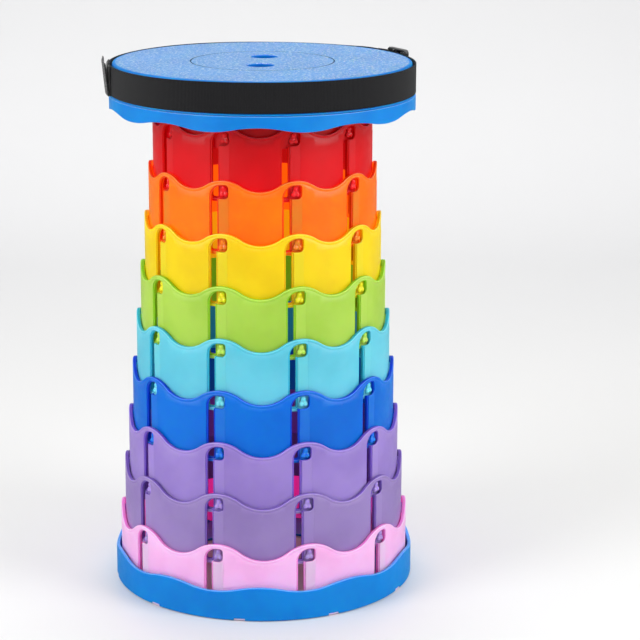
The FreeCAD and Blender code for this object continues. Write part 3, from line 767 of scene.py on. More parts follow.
def wave_line(radius: float, top: float, depth: float, hang: Hang = Hang.UP) -> Line:
    """A rim with one crest in the middle of each sector, all in tangent arcs.

    Args:
        radius: Outside radius of the wall.
        top: Height of the crests.
        depth: Depth of the waves.
        hang: Which way the crests point.

    Returns:
        A function from the sideways place and the depth to the height and the rim's direction.
    """
    reach = radius * math.sin(math.radians(SIZES.sector / 2))
    bend = (reach ** 2 + depth ** 2) / (depth * 4)
    up = hang.value

    def line(x: float, _: float) -> tuple[float, float, float]:
        """Height and direction of the rim at a sideways place."""
        if abs(x) < reach / 2:
            rise = math.sqrt(bend ** 2 - x ** 2)
            return top + (rise - bend) * up, x / bend, rise / bend * up
        far = reach - abs(x)
        rise = math.sqrt(max(bend ** 2 - far ** 2, 0.0))
        side = math.copysign(far / bend, x)
        return top - (depth - bend + rise) * up, side, rise / bend * up

    return line


def flat_line(height: float, up: int) -> Line:
    """A level rim."""
    return lambda x, depth: (height, 0.0, float(up))


@dataclass
class Wall:
    """One sector of a round wall between two rims, with a hooked slot or none."""

    radius: float
    depth: float
    top: Line
    top_rows: list[Row]
    bottom: Line
    bottom_rows: list[Row]
    extra: tuple[float, ...] = ()
    samples: int = 44
    skin: Skin = field(default_factory=Skin)

    @property
    def reach(self) -> float:
        """Half the sector's width on the outside."""
        return self.radius * math.sin(math.radians(SIZES.sector / 2))

    def columns(self) -> list[float]:
        """Sideways places of a row's points."""
        even = [-self.reach + 2 * self.reach * n / self.samples for n in range(self.samples + 1)]
        even = [x for x in even if all(abs(x - e) > 0.4 for e in self.extra)]
        return sorted(even + list(self.extra))

    def rows(self, line: Line, rows: Sequence[Row]) -> list[list[int]]:
        """Adds the rows around a rim and joins them."""
        made: list[list[int]] = []
        for row in rows:
            numbers = []
            for x in self.columns():
                z, side, up = line(x, row.depth)
                at_x = max(-self.reach, min(self.reach, x + side * row.rise))
                at_z = z + up * row.rise
                facing = (row.outwards, row.away * side, row.away * up)
                numbers.append(self.skin.add(on_wall(self.radius, at_x, at_z, row.depth), facing, (at_x, at_z)))
            if made:
                self.skin.bridge(made[-1], numbers)
            made.append(numbers)
        return made

    def side(self, first: int, last: int, depth: float, facing: float, steps: int) -> list[int]:
        """Points up a sector's open side, between two that exist."""
        (x, low), (_, high) = self.skin.flats[first], self.skin.flats[last]
        made = []
        for number in range(1, steps):
            z = low + (high - low) * number / steps
            made.append(self.skin.add(on_wall(self.radius, x, z, depth), (facing, 0, 0), (x, z)))
        return made

    def face(self, low: Sequence[int], high: Sequence[int], hole: Sequence[int], depth: float,
             facing: float) -> None:
        """Fills the wall's outside or inside between its rims."""
        tall = self.skin.flats[high[0]][1] - self.skin.flats[low[0]][1]
        steps = max(1, round(tall / 7.0))
        right = self.side(low[-1], high[-1], depth, facing, steps)
        left = self.side(low[0], high[0], depth, facing, steps)
        rim = [*low, *right, *reversed(high), *reversed(left)]
        places = [self.skin.flats[n] for n in rim]
        bottom, top = min(z for _, z in places), max(z for _, z in places)
        seeds = seed_grid((-self.reach, bottom), (self.reach, top), (3.8, 7.0))

        def place(x: float, z: float) -> tuple[Vector, tuple[float, float, float]]:
            """Point and facing of a place on this side of the wall."""
            return on_wall(self.radius, x, z, depth), (facing, 0.0, 0.0)

        self.skin.fill(rim, [hole] if hole else [], seeds, place, 1.6)

    def build(self, outer_hole: Sequence[int] = (), inner_hole: Sequence[int] = ()) -> Skin:
        """Builds the sector and returns its surface."""
        top = self.rows(self.top, self.top_rows)
        bottom = self.rows(self.bottom, self.bottom_rows)
        self.face(bottom[0], top[0], outer_hole, 0.0, 1.0)
        self.face(bottom[-1], top[-1], inner_hole, self.depth, -1.0)
        return self.skin


@dataclass
class Hook:
    """The slot of a ring with its hook, pocket, sunk ledge and the runner behind the wall."""

    width: float = 8.2
    offset: float = 3.8
    rest: float = 2.3
    right: float = 4.8
    rise: float = 6.6
    drop: float = 5.6
    shoulder: float = 10.6
    brow: float = 3.4
    corner: float = 1.9
    pocket_corner: float = 4.0
    lip: float = 0.8
    ledge_width: float = 1.5
    ledge_depth: float = 0.7
    runner_half: float = 4.25
    runner_foot: float = 3.65
    runner_skin: float = 1.2
    first: int = 0
    last: int = 0

    def outline(self, inset: float) -> list[tuple[float, float, float, float]]:
        """The closed outline, drawn in by an inset that narrows around the pocket.

        It notes in first and last where the runner starts and ends.

        Args:
            inset: Distance towards the middle of the opening, on the slot's sides.

        Returns:
            Sideways place, height and the direction into the opening, for each point.
        """
        pin = SIZES.ring_height - SIZES.pin_drop
        left, edge = -self.offset - self.width + inset, -self.offset - inset
        right, top = self.right - inset / 4, pin + self.rise - inset / 2
        floor, foot = pin - self.drop + inset / 4, self.rest + inset
        bend, brow, lip = self.shoulder - inset * 0.75, self.brow - inset / 2, self.lip
        corner, pocket = self.corner - inset / 2, self.pocket_corner - inset / 4
        turns = (
            (left + bend, top - bend, bend, 180, 90, 8, 1),
            (right - brow, top - brow, brow, 90, 0, 6, 1),
            (right - pocket, floor + pocket, pocket, 0, -90, 6, 1),
            (edge + lip, floor - lip, lip, 90, 180, 4, -1),
            (edge - corner, foot + corner, corner, 0, -90, 4, 1),
            (left + corner, foot + corner, corner, 270, 180, 4, 1),
        )
        made = []
        for number, (x, z, radius, start, end, steps, sign) in enumerate(turns):
            for step in range(steps + 1):
                turn = math.radians(start + (end - start) * step / steps)
                out, up = math.cos(turn), math.sin(turn)
                made.append((x + radius * out, z + radius * up, -out * sign, -up * sign))
                if number == 1 and step == steps:
                    self.first = len(made)
                    made.append((right, pin - 1.0, -1.0, 0.0))
            if number == 2:
                self.last = len(made)
                made.append((max(-self.runner_half, edge + lip + 0.1), floor, 0.0, 1.0))
        return made

    def cut(self, wall: Wall) -> tuple[list[int], list[int]]:
        """Builds the slot into a wall.

        Args:
            wall: The wall, of which this adds to the skin.

        Returns:
            The slot's outline on the outside and on the inside.
        """
        soft, ledge, step = 0.35, self.ledge_depth, 0.2
        rows = [(-soft + soft * math.sin(a), soft - soft * math.cos(a), math.cos(a), math.sin(a))
                for a in (0.0, math.radians(30), math.radians(60), math.radians(90))]
        rows += [(0.0, ledge - 0.14, 0.0, 1.0), (0.14, ledge, 1.0, 0.0),
                 (self.ledge_width - step, ledge, 1.0, 0.0),
                 (self.ledge_width - step * 0.3, ledge + step * 0.3, 0.7, 0.7),
                 (self.ledge_width, ledge + step, 0.0, 1.0), (self.ledge_width, self.runner_skin, 0.0, 1.0)]
        made: list[list[int]] = []
        for inset, depth, outwards, into in rows:
            made.append(self.loop(wall, self.outline(inset), depth, outwards, into))
            if len(made) > 1:
                wall.skin.bridge(made[-2], made[-1], closed=True)
        return made[0], self.runner(wall, made[-1])

    @staticmethod
    def loop(wall: Wall, outline: Sequence[tuple[float, float, float, float]], depth: float, outwards: float,
             into: float) -> list[int]:
        """Adds one loop of the slot, cut straight into the wall."""
        numbers = []
        widen = wall.radius / (wall.radius - depth)
        for x, z, side, up in outline:
            place = (x * widen, z)
            facing = (outwards, into * side, into * up)
            numbers.append(wall.skin.add(on_wall(wall.radius, *place, depth), facing, place))
        return numbers

    def runner(self, wall: Wall, loop: list[int]) -> list[int]:
        """Builds the runner below the pocket and the rest of the slot, and returns the inside outline."""
        first, last = self.first, self.last
        half, foot = self.runner_half, self.runner_foot
        high = SIZES.ring_height - SIZES.pin_drop - 1.0
        below = [(half, high), (half, foot), (-half, foot)]
        corners = self.loop(wall, [(x, z, 0.0, 0.0) for x, z in below], self.runner_skin, 0.0, 0.0)
        wall.skin.faces.append((*loop[first:last + 1], *reversed(corners)))
        before = [*loop[:first + 1], *corners, *loop[last:]]
        for spread, depth, outwards, into in ((0.0, wall.depth - 0.2, 0.0, 1.0), (0.2, wall.depth, -1.0, 0.0)):
            outline = self.outline(self.ledge_width - spread)
            under = [(half + spread, high, -into, 0.0), (half + spread, foot - spread, 0.0, 0.0),
                     (-half - spread, foot - spread, 0.0, 0.0)]
            closing = list(outline[last])
            closing[0] -= spread
            route = [*outline[:first + 1], *under, tuple(closing), *outline[last + 1:]]
            after = self.loop(wall, route, depth, outwards, into)
            wall.skin.bridge(before, after, closed=True)
            before = after
        return before


@dataclass
class Pin:
    """A glossy pin with three lobes, which rests in the pocket of the ring around it."""

    radius: float = 2.2
    spread: float = 1.7
    crown: float = 2.9
    foot: float = 1.9
    reach: float = 2.6
    hollow: float = 0.75

    def outline(self) -> list[Flat]:
        """The pin's outline about its middle: three lobes, drawn in a little between them."""
        places = []
        for (x, z), (a, b), start, end in (
                ((0.0, self.crown), (self.spread, -self.foot), 190.0, -10.0),
                ((self.spread, -self.foot), (-self.spread, -self.foot), 55.0, -100.0),
                ((-self.spread, -self.foot), (0.0, self.crown), -80.0, -235.0)):
            for step in range(9):
                turn = math.radians(start + (end - start) * step / 8)
                places.append((x + self.radius * math.cos(turn), z + self.radius * math.sin(turn)))
            middle = Vector(((x + a) / 2, (z + b) / 2))
            away = Vector((middle.x, middle.y)).normalized()
            places.append(tuple(middle + away * (self.radius - self.hollow)))
        return places

    def height(self, x: float, z: float) -> float:
        """How far the end stands back from the pin's full reach: three domes with a hollow between."""
        lobes = ((0.0, self.crown), (self.spread, -self.foot), (-self.spread, -self.foot))
        near = min(math.hypot(x - a, z - b) for a, b in lobes)
        return self.radius - math.sqrt(max(self.radius ** 2 - min(near, self.radius * 0.92) ** 2, 0.0))

    def add(self, skin: Skin, radius: float, x: float, z: float) -> None:
        """Adds the pin to a wall's skin.

        Args:
            skin: The skin that gets it.
            radius: Outside radius of the wall it stands on.
            x: Its sideways place.
            z: The height of its middle.
        """
        outline, wall = self.outline(), math.sqrt(radius ** 2 - x ** 2)
        rows: list[list[int]] = []
        for share, lift in ((1.0, -0.6), (1.0, self.reach - 1.7), (0.97, self.reach - 1.35), (0.9, None),
                            (0.78, None), (0.64, None), (0.5, None), (0.36, None), (0.2, None)):
            numbers = []
            for a, b in outline:
                at_x, at_z = a * share, b * share
                out = lift if lift is not None else self.reach - self.height(at_x, at_z) * 0.75
                numbers.append(skin.add(Vector((x + at_x, -(wall + out), z + at_z))))
            if rows:
                skin.bridge(rows[-1], numbers, closed=True)
            rows.append(numbers)
        skin.faces.append(tuple(reversed(rows[0])))
        middle = skin.add(Vector((x, -(wall + self.reach - self.height(0, 0) * 0.75), z)))
        for number in range(len(outline)):
            skin.faces.append((rows[-1][number - 1], rows[-1][number], middle))


class SectorPart:
    """A part with a shape that is repeated around the stool's axis."""

    around: AroundTree | None = None

    @classmethod
    def finish(cls, name: str, skin: Skin, turn: float, material: bpy.types.Material,
               count: int = SIZES.columns) -> bpy.types.Mesh:
        """Repeats a shape and smooths the whole.

        Args:
            name: Name of the mesh.
            skin: The shape, with its middle at the front.
            turn: Angle of the first one.
            material: Its finish.
            count: How many there are.

        Returns:
            The whole mesh.
        """
        if cls.around is None:
            SectorPart.around = AroundTree()
        mesh = grow(skin.mesh(name), cls.around, name, Count=count, Turn=math.radians(turn), Material=material)
        smooth(mesh)
        return mesh


@dataclass
class Ring(SectorPart):
    """A ring of the stack, with waves, hooked slots and pins."""

    number: int
    colour: Colour
    through: Colour
    rim_round: float = 0.95
    foot_round: float = 0.5
    toe_width: float = 9.0
    toe_angle: float = 9.2
    toe_reach: float = 129.35
    toe_foot: float = 0.95
    toe_thickness: float = 0.9
    hook: Hook = field(default_factory=Hook)
    pin: Pin = field(default_factory=Pin)

    @property
    def name(self) -> str:
        """Name of the ring's colour."""
        return RING_NAMES[self.number]

    @property
    def lowest(self) -> bool:
        """Whether this is the ring that is fixed in the foot ring."""
        return self.number == len(RING_NAMES) - 1

    def build(self) -> Skin:
        """Builds one sector of the ring, standing on its own lower edge."""
        radius = SIZES.ring_outside(self.number)
        depth = SIZES.wave_depth + SIZES.wave_growth * self.number
        wall = Wall(
            radius, SIZES.ring_wall,
            wave_line(radius, SIZES.ring_height, depth),
            groove_rows(2.3, 0.7, 0.22) + rim_rows(SIZES.ring_wall, self.rim_round, 0.6),
            flat_line(0.0, -1), rim_rows(SIZES.ring_wall, self.foot_round, self.foot_round))
        outer, inner = self.hook.cut(wall)
        skin = wall.build(outer, inner)
        if self.lowest:
            self.add_toe(skin, radius)
        else:
            self.pin.add(skin, radius, SIZES.pin_side(radius), SIZES.pin_rise)
        return skin

    def add_toe(self, skin: Skin, radius: float) -> None:
        """Adds the tab that holds the lowest ring in the foot ring."""
        turn = SIZES.sector - self.toe_angle - SIZES.column(self.number)
        half, foot, edge, sunk = self.toe_width / 2, self.toe_foot - SIZES.stack_foot, 0.3, 0.35
        top, near, far = foot + self.toe_thickness, radius - SIZES.ring_wall + sunk, self.toe_reach
        outline = ((near, foot), (far - edge, foot), (far, foot + edge), (far, top - edge), (far - edge, top),
                   (radius - sunk, top), (radius - sunk, sunk), (near, sunk))
        rows = []
        for side in (-half, -half + edge, half - edge, half):
            pinch = 0.15 if abs(side) == half else 0.0
            numbers = []
            for reach, z in outline:
                place = polar(reach - pinch, turn, z)
                across = Vector((math.cos(math.radians(turn)), math.sin(math.radians(turn)), 0))
                numbers.append(skin.add(place + across * side))
            if rows:
                skin.bridge(rows[-1], numbers, closed=True)
            rows.append(numbers)
        skin.faces += [tuple(rows[0]), tuple(reversed(rows[-1]))]

    def dress(self) -> bpy.types.Object:
        """Puts the finished ring in the scene."""
        turn = SIZES.column(self.number)
        radius = SIZES.ring_outside(self.number)
        plastic = Plastic(f"{self.name}_plastic", self.colour, radius=radius, column=turn, through=self.through)
        material = plastic.material()
        mesh = self.finish(f"{self.name}_ring_shell", self.build(), turn, material)
        lift = (SIZES.stack_foot + SIZES.pitch * (len(RING_NAMES) - 1 - self.number)) * MM
        for vertex in mesh.vertices:
            vertex.co.z += lift
        body = "base" if self.lowest else self.name
        return new_piece(mesh.name, mesh, body, f"{self.name}_plastic", f"ring_{self.name}")


SHELL_BLUE: Colour = (0, 132, 214)


@dataclass
class FootRing(SectorPart):
    """The foot ring: a scalloped wall with a floor, and gaps at its lower edge for the toes."""

    radius: float = 129.7
    wall: float = 2.9
    crest: float = 29.6
    wave: float = 4.6
    floor_hole: float = 82.0
    floor_top: float = 2.7
    seat_inside: float = 121.47
    toe_angle: float = 9.2
    toe_half: float = 4.85
    toe_gap_top: float = 2.2

    def gap_line(self) -> tuple[Line, tuple[float, ...]]:
        """The lower edge with its gap for a toe, and the places where the gap's corners stand."""
        turn = math.radians(SIZES.sector / 2 - SIZES.column_angle - self.toe_angle)
        middle = self.radius * math.sin(turn)
        low, high = middle - self.toe_half, middle + self.toe_half
        foot = SIZES.pad_thickness

        def line(x: float, depth: float) -> tuple[float, float, float]:
            """Height and direction of the lower edge."""
            outside_seat = depth < self.radius - self.seat_inside + 0.1
            open_here = outside_seat and low + 0.01 < x < high - 0.01
            return (self.toe_gap_top if open_here else foot), 0.0, -1.0

        return line, (low, low + 0.02, high - 0.02, high)

    def build(self) -> Skin:
        """Builds one sector of the foot ring."""
        foot, top = SIZES.pad_thickness, self.floor_top
        hole, seat = self.radius - self.floor_hole, self.radius - self.seat_inside
        line, corners = self.gap_line()
        rows = rounded(0.7, -0.7, 0.7, 0, 90, 3)
        rows += [Row(seat, 0.0, 0.0, 1.0), Row(seat + 0.2, 0.0, 0.0, 1.0)]
        rows += rounded(hole - 0.4, -0.4, 0.4, 90, 180, 3)
        rows += [Row(hole, foot - top + 0.3, -1.0, 0.0), Row(hole - 0.3, foot - top, 0.0, -1.0),
                 Row(seat + 0.3, foot - top, 0.0, -1.0)]
        stack = foot - SIZES.stack_foot
        rows += [Row(seat, stack, 0.0, -1.0), Row(self.wall + 0.3, stack, 0.0, -1.0),
                 Row(self.wall, stack - 0.3, -1.0, 0.0)]
        wall = Wall(
            self.radius, self.wall,
            wave_line(self.radius, self.crest, self.wave), rim_rows(self.wall, 0.85, 0.6),
            line, rows, extra=corners)
        return wall.build()

    def dress(self) -> bpy.types.Object:
        """Puts the foot ring in the scene, with a finish for its pads."""
        material = Plastic("foot_ring_plastic", SHELL_BLUE).material()
        turn = SIZES.column_angle - SIZES.sector / 2
        mesh = self.finish("foot_ring_shell", self.build(), turn, material)
        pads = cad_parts["foot_pads"]
        pads.data.materials.clear()
        pads.data.materials.append(Rubber("pad_rubber", (38, 38, 40)).material())
        return new_piece(mesh.name, mesh, "base", "shell_plastic", "base_ring")


@dataclass
class Skirt(SectorPart):
    """The scalloped ring below the strap, with a tongue up inside the cover's wall."""

    radius: float = 128.7
    wall: float = 3.4
    shoulder: float = 422.9
    foot: float = 409.7
    wave: float = 4.0
    tongue_radius: float = 126.225
    tongue_height: float = 7.1

    def build(self) -> Skin:
        """Builds one sector of the skirt."""
        tongue, tall = self.radius - self.tongue_radius, self.tongue_height
        rows = rounded(0.8, -0.8, 0.8, 0, 90)
        rows += [Row(tongue - 0.2, 0.0, 0.0, 1.0), Row(tongue, 0.2, 1.0, 0.0),
                 Row(tongue, tall - 0.2, 1.0, 0.0), Row(tongue + 0.2, tall, 0.0, 1.0),
                 Row(self.wall - 0.2, tall, 0.0, 1.0),
                 Row(self.wall, tall - 0.2, -1.0, 0.0)]
        wall = Wall(self.radius, self.wall, flat_line(self.shoulder, 1), rows,
                    wave_line(self.radius, self.foot, self.wave, Hang.DOWN), rim_rows(self.wall, 0.8, 0.6))
        return wall.build()

    def dress(self) -> bpy.types.Object:
        """Puts the skirt in the scene."""
        # The skirt's shoulder, which faces up, gets a full painted highlight.
        material = Plastic("skirt_plastic", SHELL_BLUE, painted_edge_highlight=1.0).material()
        mesh = self.finish("seat_skirt_shell", self.build(), SIZES.column_angle, material)
        return new_piece(mesh.name, mesh, "seat", "shell_plastic", "seat_skirt")


@dataclass
class Collar(SectorPart):
    """The ring that hangs below the seat, with its inner flange and its pins."""

    colour: Colour
    top: float = 446.5
    flange_top: float = 436.8
    flange_foot: float = 434.0
    flange_hole: float = 71.0
    pin: Pin = field(default_factory=Pin)

    def build(self) -> Skin:
        """Builds one sector of the collar."""
        radius, wall = SIZES.ring_outside(-1), SIZES.ring_wall
        foot = SIZES.stack_foot + SIZES.pitch * len(RING_NAMES)
        hole = radius - self.flange_hole
        high, low = self.flange_top - self.top, self.flange_foot - self.top
        rows = rim_rows(wall, 0.4, 0.4)
        rows += [Row(wall, high + 0.4, -1.0, 0.0), Row(wall + 0.4, high, 0.0, 1.0),
                 Row(hole - 0.4, high, 0.0, 1.0), Row(hole, high - 0.4, -1.0, 0.0),
                 Row(hole, low + 0.4, -1.0, 0.0), Row(hole - 0.4, low, 0.0, -1.0),
                 Row(wall + 0.4, low, 0.0, -1.0), Row(wall, low - 0.4, -1.0, 0.0)]
        wall_part = Wall(radius, wall, flat_line(self.top, 1), rows,
                         flat_line(foot, -1), rim_rows(wall, 0.5, 0.5))
        skin = wall_part.build()
        self.pin.add(skin, radius, SIZES.pin_side(radius), foot + SIZES.pin_rise)
        return skin

    def dress(self) -> bpy.types.Object:
        """Puts the collar in the scene."""
        material = Plastic("collar_plastic", self.colour, radius=SIZES.ring_outside(-1)).material()
        mesh = self.finish("seat_collar_shell", self.build(), SIZES.column(-1), material)
        return new_piece(mesh.name, mesh, "seat", "red_plastic", "seat_collar")


@dataclass(frozen=True)
class Turned:
    """One point of a turned outline: its radius, its height and how it faces outwards and up."""

    radius: float
    height: float
    out: float
    up: float


def turned_round(radius: float, height: float, bend: float, start: float, end: float,
                 steps: int = 4) -> list[Turned]:
    """Points of a turned outline around an edge, where 0 degrees faces outwards and 90 up.

    Args:
        radius: Radius of the bend's middle.
        height: Height of the bend's middle.
        bend: The bend's own radius, less than 0 for a hollow corner.
        start: First direction, in degrees.
        end: Last direction, in degrees.
        steps: Steps between them.

    Returns:
        The points, from start to end.
    """
    made = []
    for number in range(steps + 1):
        turn = math.radians(start + (end - start) * number / steps)
        out, up = math.cos(turn), math.sin(turn)
        made.append(Turned(radius + bend * out, height + bend * up, out, up))
    return made


def plain_turned(*places: Flat) -> list[Turned]:
    """Points of a turned outline that is shaded by its faces alone."""
    return [Turned(radius, height, 0, 0) for radius, height in places]


def turn_rows(skin: Skin, outline: Sequence[Turned], steps: int, centre: Flat = (0.0, 0.0)) -> list[list[int]]:
    """Turns an outline about an upright axis.

    Args:
        skin: The skin that gets the surface.
        outline: Points from one end to the other.
        steps: Steps around.
        centre: Where the axis stands.

    Returns:
        A closed row of points for each point of the outline.
    """
    rows: list[list[int]] = []
    central = centre == (0.0, 0.0)
    for spot in outline:
        numbers = []
        for x, y in circle_places(spot.radius, steps, centre):
            facing = (spot.out, 0.0, spot.up) if central else None
            numbers.append(skin.add(Vector((x, y, spot.height)), facing, (x, y)))
        if rows:
            skin.bridge(rows[-1], numbers, closed=True)
        rows.append(numbers)
    return rows


@dataclass
class Seat(SectorPart):
    """The seat: its cover with finger wells, the disc in its middle, and what lies under the plate."""

    insert_radius: float = 60.0
    insert_gap: float = 0.35
    recess_wall: float = 3.2
    edge_round: float = 1.9
    edge_draft: float = 1.7
    draft_height: float = 10.0
    lip_reach: float = 1.0
    lip_foot: float = 423.3
    lip_top: float = 424.6
    rim_inside: float = 125.3
    rabbet: float = 126.4
    rabbet_top: float = 430.0
    finger_radius: float = 11.5
    finger_offset: float = 27.4
    finger_turn: float = 3.5
    well_floor: float = 428.0
    well_wall: float = 1.8
    well_round: float = 1.5
    rib_reach: float = 82.0
    rib_drop: float = 9.0
    boss_circle: float = 77.5
    boss_drop: float = 10.0
    bosses: int = 5
    flange: float = 2.8
    steps: int = 220
    well_steps: int = 48

    @property
    def plate_foot(self) -> float:
        """Height of the seat plate's underside."""
        return SIZES.seat_height - SIZES.seat_plate

    @property
    def recess_floor(self) -> float:
        """Height of the underside below the disc."""
        return self.plate_foot - self.recess_wall

    def finger_places(self) -> list[Flat]:
        """Where the two finger holes stand."""
        turn = math.radians(self.finger_turn)
        x, y = self.finger_offset * math.sin(turn), self.finger_offset * math.cos(turn)
        return [(x, y), (-x, -y)]

    def disc(self, skin: Skin, rim: list[int], holes: list[list[int]], height: float, up: float) -> None:
        """Fills a level face of the seat."""
        reach = max(abs(x) for x, _ in (skin.flats[n] for n in rim))
        seeds = seed_grid((-reach, -reach), (reach, reach), (9.0, 9.0))
        skin.fill(rim, holes, seeds, lambda x, y: (Vector((x, y, height)), (0.0, 0.0, up)), 3.0)

    def cover_outline(self) -> list[Turned]:
        """The cover's section: from the disc's recess over the top, down the wall and back underneath."""
        top, plate, outside = SIZES.seat_height, self.plate_foot, SIZES.seat_radius
        recess, floor = self.insert_radius + self.insert_gap, self.recess_floor
        wall_out = recess + self.recess_wall
        lip, bend, draft = outside + self.lip_reach, self.edge_round, self.edge_draft
        outline = [Turned(recess - 0.25, plate, 0, 1), Turned(recess, plate + 0.25, -1, 0)]
        outline += turned_round(recess + 0.5, top - 0.5, 0.5, 180, 90, 3)
        outline += [Turned(recess + 20, top, 0, 1), Turned(recess + 45, top, 0, 1)]
        outline += turned_round(outside - draft - bend, top - bend, bend, 90, 0, 6)
        outline += [Turned(outside, top - self.draft_height, 1, 0.1), Turned(outside, self.lip_top + 0.3, 1, 0),
                    Turned(outside + 0.3, self.lip_top, 0, 1)]
        outline += turned_round(lip - 0.35, self.lip_top - 0.35, 0.35, 90, 0, 3)
        outline += turned_round(lip - 0.35, self.lip_foot + 0.35, 0.35, 0, -90, 3)
        outline += [Turned(self.rabbet + 0.2, self.lip_foot, 0, -1),
                    Turned(self.rabbet, self.lip_foot + 0.2, -1, 0),
                    Turned(self.rabbet, self.rabbet_top - 0.2, -1, 0),
                    Turned(self.rabbet - 0.2, self.rabbet_top, 0, -1),
                    Turned(self.rim_inside + 0.2, self.rabbet_top, 0, -1),
                    Turned(self.rim_inside, self.rabbet_top + 0.2, -1, 0),
                    Turned(self.rim_inside, plate - draft / 4, -1, -0.4),
                    Turned(self.rim_inside - draft / 4, plate, -0.4, -1), Turned(wall_out + 0.6, plate, 0, -1),
                    Turned(wall_out, plate - 0.6, 1, 0), Turned(wall_out, floor + 0.5, 1, 0),
                    Turned(wall_out - 0.5, floor, 0, -1)]
        return outline

    def add_well(self, skin: Skin, centre: Flat) -> list[list[int]]:
        """Adds a finger well, and returns its edges in the recess and under it."""
        radius, bend = self.finger_radius, self.well_round
        bore = [Turned(radius, self.plate_foot, 0, 1), Turned(radius, self.well_floor + bend, -1, 0)]
        bore += turned_round(radius - bend, self.well_floor + bend, -bend, 180, 90, 3)[1:]
        radius, base = radius + self.well_wall, self.well_floor - self.well_wall
        shell = [Turned(radius, self.recess_floor, 0, -1), Turned(radius, base + 1.2, 1, 0),
                 Turned(radius - 0.35, base + 0.35, 1, -1), Turned(radius - 1.2, base, 0, -1)]
        edges = []
        for outline in (bore, shell):
            rows = turn_rows(skin, outline, self.well_steps, centre)
            skin.faces.append(tuple(rows[-1]))
            edges.append(rows[0])
        return edges

    def build_cover(self) -> Skin:
        """Builds the cover as one closed surface."""
        skin = Skin()
        rows = turn_rows(skin, self.cover_outline(), self.steps)
        wells = [self.add_well(skin, centre) for centre in self.finger_places()]
        self.disc(skin, rows[0], [well[0] for well in wells], self.plate_foot, 1.0)
        self.disc(skin, rows[-1], [well[1] for well in wells], self.recess_floor, -1.0)
        return skin

    def build_insert(self) -> Skin:
        """Builds the disc with its two finger holes."""
        skin = Skin()
        top, foot, radius = SIZES.seat_height, self.plate_foot, self.insert_radius
        outline = turned_round(radius - 0.45, top - 0.45, 0.45, 90, 0, 3)
        outline += turned_round(radius - 0.3, foot + 0.3, 0.3, 0, -90, 2)
        rows = turn_rows(skin, outline, self.steps)
        upper, lower = [], []
        for centre in self.finger_places():
            hole, bend = self.finger_radius, 0.9
            turns = [math.radians(90 - 15 * n) for n in range(7)]
            spots = [(hole + bend - bend * math.cos(a), top - bend + bend * math.sin(a)) for a in turns]
            bore = plain_turned(*spots, (hole, foot + 0.2), (hole + 0.2, foot))
            made = turn_rows(skin, bore, self.well_steps, centre)
            upper.append(made[0])
            lower.append(made[-1])
        self.disc(skin, rows[0], upper, top, 1.0)
        self.disc(skin, rows[-1], lower, foot, -1.0)
        return skin

    def build_rib(self) -> Skin:
        """Builds one rib that stands under the plate."""
        skin = Skin()
        half, near, far = 1.1, self.insert_radius + self.insert_gap + self.recess_wall - 0.5, self.rib_reach
        high, low = self.plate_foot + 0.4, self.plate_foot - self.rib_drop
        rows = []
        for height, pinch in ((high, -0.4), (self.plate_foot, -0.4), (self.plate_foot - 0.8, 0.0),
                              (low + 0.4, 0.0), (low, 0.4)):
            a, b = half - pinch, far - pinch
            corners = [(-a, -near), (a, -near), (a, -b + 0.8), (a - 0.8, -b), (-a + 0.8, -b), (-a, -b + 0.8)]
            rows.append([skin.add(Vector((x, y, height))) for x, y in corners])
            if len(rows) > 1:
                skin.bridge(rows[-2], rows[-1], closed=True)
        skin.faces += [tuple(rows[0]), tuple(rows[-1])]
        return skin

    def build_boss(self) -> Skin:
        """Builds one screw boss under the plate, with its bore."""
        skin = Skin()
        centre = tuple(polar(self.boss_circle, SIZES.sector / 2, 0.0)[:2])
        plate, foot = self.plate_foot, self.plate_foot - self.boss_drop
        outline = plain_turned((4.6, plate + 0.4), (4.4, plate), (4.0, plate - 0.6), (4.0, foot + 0.3),
                               (3.7, foot), (1.7, foot), (1.5, foot + 0.2), (1.5, foot + 8.2))
        rows = turn_rows(skin, outline, 24, centre)
        skin.faces += [tuple(rows[0]), tuple(rows[-1])]
        return skin

    def build_screw(self) -> Skin:
        """Builds one screw with a crossed recess in its round head."""
        skin = Skin()
        x, y = polar(self.boss_circle, SIZES.sector / 2, 0.0)[:2]
        head = self.plate_foot - self.boss_drop - self.flange
        shank = plain_turned((1.5, head + 11.0), (1.5, head), (3.0, head), (3.0, head - 0.5),
                             (2.75, head - 1.2))
        rows = turn_rows(skin, shank, 32, (x, y))
        skin.faces.append(tuple(rows[0]))
        last = rows[-1]
        for radius in (2.3, 1.9, 1.6, 1.2, 0.8, 0.4):
            drop = 2.2 * math.sqrt(max(0.0, 1 - (radius / 3.3) ** 2))
            numbers = []
            for a, b in circle_places(radius, 32):
                cross = 1.1 if min(abs(a), abs(b)) < 0.42 and radius < 1.75 else 0.0
                numbers.append(skin.add(Vector((x + a, y + b, head - drop + cross))))
            skin.bridge(last, numbers, closed=True)
            last = numbers
        skin.faces.append(tuple(last))
        return skin

